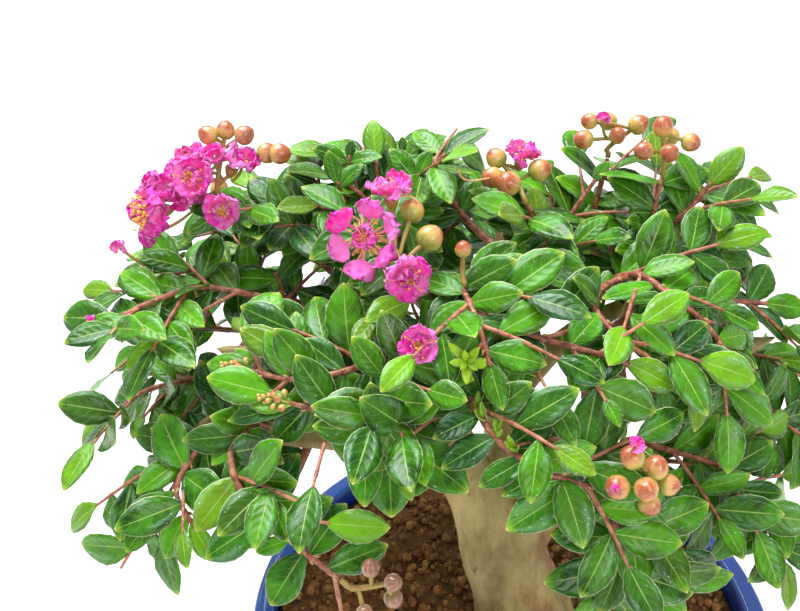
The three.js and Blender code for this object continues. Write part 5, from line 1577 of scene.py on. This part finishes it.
def petal_tip(bloom, index, lift, size):
    """The solid petal's tip: its reach out and its cup's height up, turned together by the lift."""
    out, reach = petal_way(bloom, index, size, draws(bloom.seed + index))
    height = 0.6 + 0.16 * bloom.radius
    return (bloom.centre + out * (reach * math.cos(lift) - height * math.sin(lift))
            + bloom.axis * (reach * math.sin(lift) + height * math.cos(lift)))


def ball(centre, radius, axis, tone=0.0, material=0):
    """A small egg of 8 by 5 points, for anthers and the youngest buds."""
    side, other = basis(axis)
    rise = np.sin(np.linspace(-1.1, 1.1, 5))
    angle = round_angles(8)
    pole = 1.3 * radius * axis
    grid = centre + rise[:, None, None] * pole
    grid = grid + spoke(side, other, angle, radius * np.sqrt(1 - rise ** 2)[:, None])
    return shell(grid, centre - pole, centre + pole, material=material, tone=tone)


def stamen_patches(bloom, curled=False, share=1):
    """A tuft of filaments that bow outwards from the heart, each with an anther, and three longer ones.

    In a curled tuft they all hook back on themselves, as on a flower that is past its best.
    """
    patches = []
    random = draws(bloom.seed + 77)
    full = curled or share > 1
    count = 30 if full else (8 if bloom.radius < 7.2 else 16)
    for k in range(count + (0 if full else 3)):
        long = k >= count
        out = spoke(bloom.side, bloom.other, GOLDEN_TURN * k)
        spread = 0.15 + 0.5 * random() + (0.5 if long else 0)
        reach = share * bloom.radius * ((0.34 if curled else 0.38) + 0.16 * random() + (0.2 if long else 0))
        foot = bloom.centre + out * 0.6 * random()
        mid = foot + bloom.axis * 0.55 * reach + out * 0.2 * spread * reach
        route = [foot, mid, foot + bloom.axis * reach * (0.75 if long else 0.95) + out * spread * reach]
        if curled:
            aside = np.cross(bloom.axis, out) * (random() - 0.5) * 0.5 * reach
            far = foot + out * (0.7 + 0.4 * random()) * reach + bloom.axis * 0.6 * reach + aside
            hook = far + out * 0.12 * reach - bloom.axis * 0.3 * reach
            route = [foot, mid, far, hook, hook - out * 0.28 * reach - bloom.axis * 0.02 * reach]
        line = smooth(route, 4)
        patches.append(sweep(line, np.linspace(0.2, 0.13, len(line)), 5, material=1, tone=random()))
        patches.append(ball(route[-1], 0.42 if long or curled else 0.5, bloom.axis, random(), 2))
    return patches


def make_bloom(name, centre, axis, radius, seed):
    """A flower in place of its solid: the petals that it holds, an inner whorl, stamens and a heart.

    The inner whorl is crumpled and stands more upright, between the outer petals.
    """
    bloom = flower_at(centre, axis, radius, seed)
    clawed = name == CLAWED_BLOOM
    node = f"bloom_{name}"
    corners = corner_points(node)
    patches = []
    for index in range(PETAL_COUNT):
        for lift, size in PETAL_TRIES:
            if holds(corners, petal_tip(bloom, index, lift, size)):
                patches.append(petal_patch(bloom, index, lift, size, 0.5 if clawed else 0.3))
                break
    random = draws(seed + 61)
    for index in range(0, PETAL_COUNT, 2 if clawed else 1):
        lift = (0.5 if clawed else 0.55) + 0.3 * random()
        size = 0.42 if clawed else 0.5 + 0.18 * random()
        between = index + 0.5 + 0.3 * random()
        patches.append(petal_patch(bloom, between, lift, size, 0.12 if clawed else 0.35))
    patches += stamen_patches(bloom, clawed, STAMEN_REACH.get(name, 1))
    patches.append(bud_patch(centre + axis * 0.8, axis, 1.5, 0.0, material=1))
    piece = make_piece(f"flower_{name}", patches, [PETAL, STAMEN, ANTHER, CALYX])
    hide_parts(node)


def calyx_patch(centre, axis):
    """A ribbed cup under a flower, its rim drawn out to six short points."""
    side, other = basis(axis)
    t = np.linspace(0, 1, 8)[:, None]
    angle = round_angles(24)
    r = (0.8 + 1.6 * np.sin(t * math.pi / 2) ** 0.8) * (1 + 0.16 * t ** 3 * np.cos(6 * angle))
    height = -CORE_FOOT - GAP - 4.0 + 4.0 * t - 0.5 * t ** 4 * (1 - np.cos(6 * angle)) / 2
    grid = centre + height[..., None] * axis + spoke(side, other, angle, r)
    return shell(grid, centre - axis * (CORE_FOOT + GAP + 4.2), centre - axis * (CORE_FOOT + GAP + 0.4),
                 material=2, tone=0.3)


def bud_mark(bud, root):
    """The first corner of the solid bud's blunt end, if its pedicel starts at root."""
    axis = unit(bud.at - root)
    return bud.at + axis * 0.9 * bud.radius + first_side(axis) * 0.45 * bud.radius


def stems_of(name):
    """The stems of the spray of this name."""
    return next(spray.stems for spray in grown if spray.name == name)


def lay_bunch(index, name, spray_name, hub, buds, blooms):
    """The solid bunch's buds, pedicels and calyxes; a fork is found by the turn of its bud."""
    end = end_of(stems_of(spray_name)[0])
    random = draws(BUNCH_SEED + index)
    beside = BUNCH_BESIDE.get(name)
    way = UP if beside else end.tangent
    seat = np.array(beside) + UP * (TWIG_RADIUS + GAP) if beside else end.point + way * GAP
    if hub is None:
        hub = end.point + end.tangent * 4 + UP * 4
        turn = [2 * math.pi * i / buds + random() for i in range(buds)]
        leans = [np.array([math.cos(a), math.sin(a), 0.9]) for a in turn]
        centres = [hub + unit(0.5 * dome_normal(hub) + lean) * RULE_BUNCH_RISE for lean in leans]
    else:
        hub, centres = np.array(hub, float), [np.array(c, float) for c in buds]
    radii = [BUD_RADIUS * BUNCH_GIRTH.get(name, 1) * (0.85 + 0.2 * random()) for _ in centres]
    flowers = [(np.array(c, float), unit(a), r) for c, a, r in blooms]
    ends = [Record(at=c, radius=r) for c, r in zip(centres, radii)]
    ends += [Record(at=c - a * (CORE_FOOT + GAP + CALYX_HEIGHT), radius=0) for c, a, _ in flowers]

    # The stalk runs to the furthest end, and the others fork from it, the nearest first
    order = sorted(range(len(ends)), key=lambda i: np.linalg.norm(ends[i].at - seat))
    last = ends[order.pop()]
    last.root = hub
    line = [seat, seat + way * 1.5, hub, last.at]
    total = length_of(np.array(line))
    corners = corner_points(f"buds_{name}")
    for i, k in enumerate(order):
        one = ends[k]
        share = 0.3 + 0.55 * i / max(1, len(order) - 1)
        roots = [place_on(line, total * (share + shift)).point for shift in FORK_SHIFTS]
        one.root = next((p for p in roots if one.radius and holds(corners, bud_mark(one, p))), roots[0])

    patches = [twig_patch(line, 1.05, 0.75, material=1, tone=0.3)]
    for k, one in enumerate(ends):
        axis = unit(one.at - one.root)
        foot = one.at - axis * 0.8 * one.radius
        if one is not last:
            sag = (one.root + foot) / 2 + UP * 0.04 * np.linalg.norm(foot - one.root)
            patches.append(twig_patch([one.root, sag, foot], 0.6, 0.8, material=1, tone=0.2))
        if one.radius:
            ripe = RIPENESS.get(name, 0.6) + 0.25 * (draws(index * 50 + k)() - 0.5)
            patches.append(bud_patch(one.at, axis, one.radius, ripe))
    patches += [calyx_patch(centre, axis) for centre, axis, _ in flowers]
    piece = make_piece(f"bunch_{name}", patches, [BUD, STALK, CALYX])
    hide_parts(f"buds_{name}")
    for i, (centre, axis, radius) in enumerate(flowers):
        make_bloom(f"{name}_{i + 1}", centre, axis, radius, BLOOM_SEED + index * 100 + i * 10)


def lay_lone_bloom(index, name, spray_name, way, radius):
    """A single flower at the end of its stem, as far along as the solid's heart is."""
    end = end_of(stems_of(spray_name)[0])
    axis = unit(way)
    corners = corner_points(f"bloom_{name}")
    mark = first_side(axis) * CORE_RADIUS - axis * CORE_FOOT
    steps = [end.point + end.tangent * 0.1 * k for k in range(80)]
    centre = next((p for p in steps if holds(corners, p + mark)), steps[30])
    make_bloom(name, centre, axis, radius, LONE_SEED + index * 10)


for index, bunch in enumerate(BUNCHES):
    lay_bunch(index, *bunch)
for index, lone in enumerate(LONE_BLOOMS):
    lay_lone_bloom(index, *lone)


# Small growths

def make_petal_tufts():
    """Tufts of crumpled petals at drawn lifts, most of them on a stalk that sags in its middle."""
    tufts = []
    for k, (centre, axis, radius, root) in enumerate(PETAL_TUFTS):
        centre, axis = np.array(centre, float), unit(axis)
        bloom = flower_at(centre, axis, radius, TUFT_SEED + 10 * k)
        random = draws(bloom.seed + 5)
        for index in range(6 if radius > 5 else 4):
            tufts.append(petal_patch(bloom, index, 0.2 + 1.1 * random(), 1, 0.15))
        if root:
            bend = (centre + root) / 2 - UP * 1.5
            tufts.append(twig_patch([root, bend, centre + axis * 0.5], 0.5, 0.7, material=1, tone=0.2))
    make_piece("petal_tufts", tufts, [PETAL, STALK])


def make_racemes():
    """Fifteen tiny buds up a 9 mm stalk, a golden angle apart and smaller towards its tip."""
    patches = []
    for line in stems_of(RACEME_SPRAY):
        end = end_of(line)
        tip = end.point + end.tangent * 9
        patches.append(twig_patch([end.point, tip], 0.6, 0.3, material=1, tone=-0.2))
        side, other = basis(end.tangent)
        for k in range(15):
            share = (k + 1) / 15
            foot = end.point + end.tangent * 9 * share
            reach = 2.6 * (1.15 - share)
            place = foot + spoke(side, other, GOLDEN_TURN * k) * reach + end.tangent * 1.2
            patches.append(sweep([foot, place], [0.2, 0.2], 5, material=1, tone=-0.2))
            ripe = 0.4 if k % 3 == 0 else -0.5
            patches.append(ball(place, 1.25 - 0.55 * share, unit(place - foot), ripe))
    make_piece("young_racemes", patches, [BUD, STALK])


def make_young_shoots():
    """Upright shoots of four folded leaves, each smaller and more open than the last."""
    line = stems_of(YOUNG_SPRAY)[0]
    patches = []
    for k, (distance, length) in enumerate(YOUNG_SHOOTS):
        place = place_on(line, distance)
        upward = unit(0.9 * UP - 0.25 * place.tangent - 0.35 * np.cross(place.tangent, UP) * (-1) ** k)
        side, other = basis(upward)
        for turn in range(4):
            out = spoke(side, other, 1.57 * turn + k)
            along = unit(upward + out * (0.3 + 0.12 * turn))
            normal = unit(upward * 0.3 - out + along * np.dot(out - 0.3 * upward, along))
            pose = Record(point=place.point + place.tangent * 0.3 * turn, along=along, normal=normal,
                          length=length * (1 - 0.14 * turn), width=length * 0.36, arch=-0.1,
                          seed=YOUNG_SEED + 10 * k + turn, youth=0.75)
            patches.append(leaf_patch(pose, *SMALL_LEAF))
    make_piece("young_shoots", patches, [LEAF])


def make_rosette():
    """Nine young leaves round one heart, each a golden angle on, steeper and smaller than the last."""
    heart, axis = np.array(ROSETTE[0], float), unit(ROSETTE[1])
    side, other = basis(axis)
    patches = [twig_patch([heart + [5, 4, 4], heart - axis], 0.8, 0.7)]
    for k in range(9):
        along = unit(spoke(side, other, GOLDEN_TURN * k) + axis * (0.15 + 0.22 * k))
        normal = unit(axis - along * np.dot(axis, along))
        pose = Record(point=heart, along=along, normal=normal, length=8.5 - 0.55 * k,
                      width=3.6 - 0.2 * k, arch=0.15, seed=ROSETTE_SEED + k, youth=1.0)
        patches.append(leaf_patch(pose, *TINY_LEAF))
    make_piece("young_rosette", patches, [LEAF, TWIG])


make_petal_tufts()
make_racemes()
styles = [twig_patch(route, 0.42, 0.3, material=0, tone=0.6) for route in STYLES]
make_piece("dry_styles", styles, [STAMEN])
make_young_shoots()
make_rosette()


# Pot, soil and wire

def wall_radius(z):
    """The bowl's outer radius at a height: from the foot's to the lip's by a quarter sine of z^0.8."""
    t = np.clip(z / (POT_HEIGHT - LIP_DROP), 0, 1)
    return FOOT_RADIUS + 2 + (RIM_RADIUS - LIP_OVERHANG - FOOT_RADIUS - 2) * np.sin(math.pi / 2 * t ** 0.8)


def make_pot():
    """The bowl: foot, a wall that swells as a quarter sine, a rolled lip, and a wall 6 mm thick.

    Its profile is turned about Z, and rods and blocks cut the drain holes and the grooves under the foot.
    """
    lip_foot = POT_HEIGHT - LIP_DROP
    heights = np.linspace(2, lip_foot, 24)
    outer = [(wall_radius(z) - 0.15, z) for z in heights]
    turn = np.linspace(0, math.pi / 2, 7)
    neck = [(RIM_RADIUS - 2.6, lip_foot + 1), (RIM_RADIUS - 1.2, lip_foot + 2), (RIM_RADIUS, lip_foot + 4)]
    roll = 2.2
    top = POT_HEIGHT - roll
    shoulder = [(RIM_RADIUS - roll + roll * math.cos(a), top + roll * math.sin(a)) for a in turn]
    inner_top = wall_radius(lip_foot) - WALL
    mouth = [(inner_top + roll - roll * math.sin(a), top + roll * math.cos(a)) for a in turn]
    inner = [(wall_radius(z) - WALL, z) for z in heights[::-1] if z > FLOOR]
    foot = [(0, 0), (FOOT_RADIUS - 6, 0), (FOOT_RADIUS - 0.5, 0), (FOOT_RADIUS + 0.9, 0.8)]
    floor_edge = wall_radius(FLOOR) - WALL
    floor = [(floor_edge, FLOOR + 1), (floor_edge - 4, FLOOR), (40, FLOOR), (0, FLOOR)]
    profile = foot + outer + neck + shoulder + mouth + inner + floor
    piece = make_piece("glazed_pot", [revolve(profile, 144)], [GLAZE])
    cutters = []
    for i in range(DRAIN_COUNT):
        bearing = 2 * math.pi * i / DRAIN_COUNT + math.pi / 2
        way = np.array([math.cos(bearing), math.sin(bearing), 0])
        hole = sweep([way * DRAIN_RING - UP * 20, way * DRAIN_RING + UP * 20], DRAIN_RADIUS, 32)
        out = np.cross(UP, way) * GROOVE_WIDTH / 2
        low, high = -UP * 5, UP * GROOVE_DEPTH
        corners = np.array([[-out + low, out + low, out + high, -out + high]] * 2)
        grid = corners + np.array([DRAIN_RING - DRAIN_RADIUS, RIM_RADIUS])[:, None, None] * way
        groove = shell(grid[:, ::-1], grid[0].mean(axis=0), grid[1].mean(axis=0))
        cutters += [hole, groove]
    tools = []
    for k, cutter in enumerate(cutters):
        tools.append(make_piece(f"cutter_{k}", [cutter], [GLAZE]))
        cut = piece.modifiers.new("cut", "BOOLEAN")
        cut.object = tools[-1]
        cut.operation = "DIFFERENCE"
        cut.solver = "EXACT"
    mesh = modified(piece)
    for tool in tools:
        bpy.data.objects.remove(tool)
    piece.modifiers.clear()
    piece.data = mesh
    mesh.shade_smooth()
    mesh.set_sharp_from_angle(angle=math.radians(40))
    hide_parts("pot")


def soil_height(x, y):
    """The solid soil's top: a crown that falls with the radius squared, and fading waves."""
    out = np.hypot(x, y) / RIM_RADIUS
    bumps = np.sin(x * 0.21 + 1) * np.cos(y * 0.17) + np.sin(x * 0.11 - y * 0.13)
    return SOIL_LEVEL + SOIL_CROWN * (1 - out * out) + SOIL_BUMP * bumps * (1 - out ** 4)


def make_soil():
    """Soil: a plug whose top follows the solid's swell with crumbly relief, strewn with loose crumbs."""
    side = [(wall_radius(z) - WALL - 0.6, z) for z in np.linspace(SOIL_FOOT, SOIL_LEVEL - 3, 8)]
    edge = wall_radius(SOIL_LEVEL) - WALL - 0.6
    top = [(edge * share, SOIL_LEVEL) for share in np.linspace(1, 0.02, 56)]
    plug = revolve([(0, SOIL_FOOT), (40, SOIL_FOOT), *side, *top, (0, SOIL_LEVEL)], 180, tone=0.0)
    upper = np.hypot(plug.co[:, 0], plug.co[:, 1]) < edge + 0.01
    upper &= plug.co[:, 2] >= SOIL_LEVEL
    flat = plug.co[upper] * [1, 1, 0]
    rough = 0.9 * rumple(flat, 16, seed=21, octaves=3) + 0.7 * rumple(flat, 5, seed=22, octaves=3)
    fade = np.clip((edge - np.hypot(flat[:, 0], flat[:, 1])) / 6, 0, 1)
    plug.co[upper, 2] = soil_height(flat[:, 0], flat[:, 1]) - 0.7 + rough * fade
    piece = make_piece("soil_plug", [plug], [SOIL])
    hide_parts("soil")

    # Crumbs lie evenly over the soil, but not in the trunk, and they shrink at the pot's wall
    rng = np.random.default_rng(CRUMB_SEED)
    out = edge * 0.985 * np.sqrt(rng.uniform(0, 1, CRUMB_COUNT))
    bearing = rng.uniform(0, 2 * math.pi, CRUMB_COUNT)
    x, y = out * np.cos(bearing), out * np.sin(bearing)
    size = rng.uniform(0.5, 1, CRUMB_COUNT) ** 3 * 2.6 + 0.35
    size = np.minimum(size, (edge - out) * 0.8 + 0.3)
    patches = []
    for k in range(CRUMB_COUNT):
        if math.hypot(x[k] - TRUNK_PLACE, y[k]) >= TRUNK_CLEAR:
            centre = np.array([x[k], y[k], soil_height(x[k], y[k]) - 0.3 + 0.35 * size[k]])
            patches.append(crumb_patch(centre, size[k], rng))
    make_piece("soil_crumbs", patches, [CRUMB])


def crumb_patch(centre, size, rng):
    """A crumb: an egg of three rings of six points, each point moved in or out at random."""
    rise = np.array([-0.6, 0.05, 0.65])
    angle = round_angles(6) + rng.uniform(0, 1)
    r = np.sqrt(1 - rise ** 2)[:, None] * rng.uniform(0.7, 1.15, (3, 6))
    height = rise[:, None] + rng.uniform(-0.12, 0.12, (3, 6))
    grid = np.stack([r * np.cos(angle), r * np.sin(angle), height], axis=-1)
    grid = grid * size * rng.uniform(0.7, 1.1, 3)
    pole = UP * size * 0.8
    return shell(centre + grid, centre - pole, centre + pole, tone=rng.uniform(-0.3, 0.6))


def make_wire():
    """The tie wire: a round rod along its smoothed route, a fifth thinner than the solid."""
    line = resample(smooth(WIRE_ROUTE), 2)
    piece = make_piece("tie_wire_round", [sweep(line, WIRE_RADIUS * 0.8, 10)], [WIRE])
    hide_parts("tie_wire")


make_pot()
make_soil()
make_wire()
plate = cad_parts["drain_mesh"]
plate.data.materials.clear()
plate.data.materials.append(MESH)


# Stage, light and camera

def make_stage():
    """A wide pale table top, 0.2 mm under the foot."""
    size = 4.0
    corners = [(-size, -size), (size, -size), (size, size), (-size, size)]
    mesh = bpy.data.meshes.new("table_top")
    mesh.from_pydata([(x, y, -0.0002) for x, y in corners], [], [(0, 1, 2, 3)])
    material, tree, shader = new_material("white_table", Roughness=0.6)
    place = add(tree, "ShaderNodeTexCoord", output="Object")
    cloud = add(tree, "ShaderNodeTexNoise", {"Vector": place, "Scale": 3.0, "Detail": 2.0})
    pale = add(tree, "ShaderNodeValToRGB", cloud,
               stops=[(0.0, colour("#f6f6f6")), (1.0, colour("#ffffff"))])
    connect(tree, shader, Base_Color=pale)
    mesh.materials.append(material)
    link("table_top", mesh)


def add_light(name, place, target, size, power, tint):
    """A round lamp at a place, turned to its target: it first faces down, then pitches and yaws."""
    light = bpy.data.lights.new(name, "AREA")
    light.shape = "DISK"
    light.size = size
    light.energy = power
    light.color = colour(tint)[:3]
    lamp = link(name, light)
    lamp.location = place
    away = np.array(target) - np.array(place)
    yaw = math.atan2(away[0], -away[1])
    pitch = math.atan2(math.hypot(away[0], away[1]), -away[2])
    lamp.rotation_euler = (pitch, 0, yaw + math.pi)


def make_view():
    """White surroundings, two lamps and a wide sun for soft studio light, and the camera."""
    scene = bpy.context.scene
    world = bpy.data.worlds.new("white_studio")
    world.use_nodes = True
    glow = world.node_tree.nodes["Background"].inputs
    glow["Color"].default_value = colour("#ffffff")
    glow["Strength"].default_value = 0.55
    scene.world = world
    scene.view_settings.view_transform = "Standard"
    add_light("key", (-0.25, 0.3, 1.15), (0, 0, 0.2), 0.9, 12, "#f0f6ff")
    add_light("front", (0.5, -0.9, 0.8), (0, 0, 0.2), 0.6, 4, "#ffffff")
    sun = bpy.data.lights.new("window", "SUN")
    sun.energy = 2.2
    sun.angle = math.radians(40)
    link("window", sun).rotation_euler = (math.radians(-22), math.radians(-18), 0)
    data = bpy.data.cameras.new("view")
    data.lens = CAMERA_LENS
    data.sensor_width = SENSOR_WIDTH
    data.clip_start = 0.01
    camera = link("view", data)
    camera.location = CAMERA_PLACE
    camera.rotation_euler = (math.radians(90 - CAMERA_PITCH), 0, 0)
    scene.camera = camera


make_stage()
make_view()
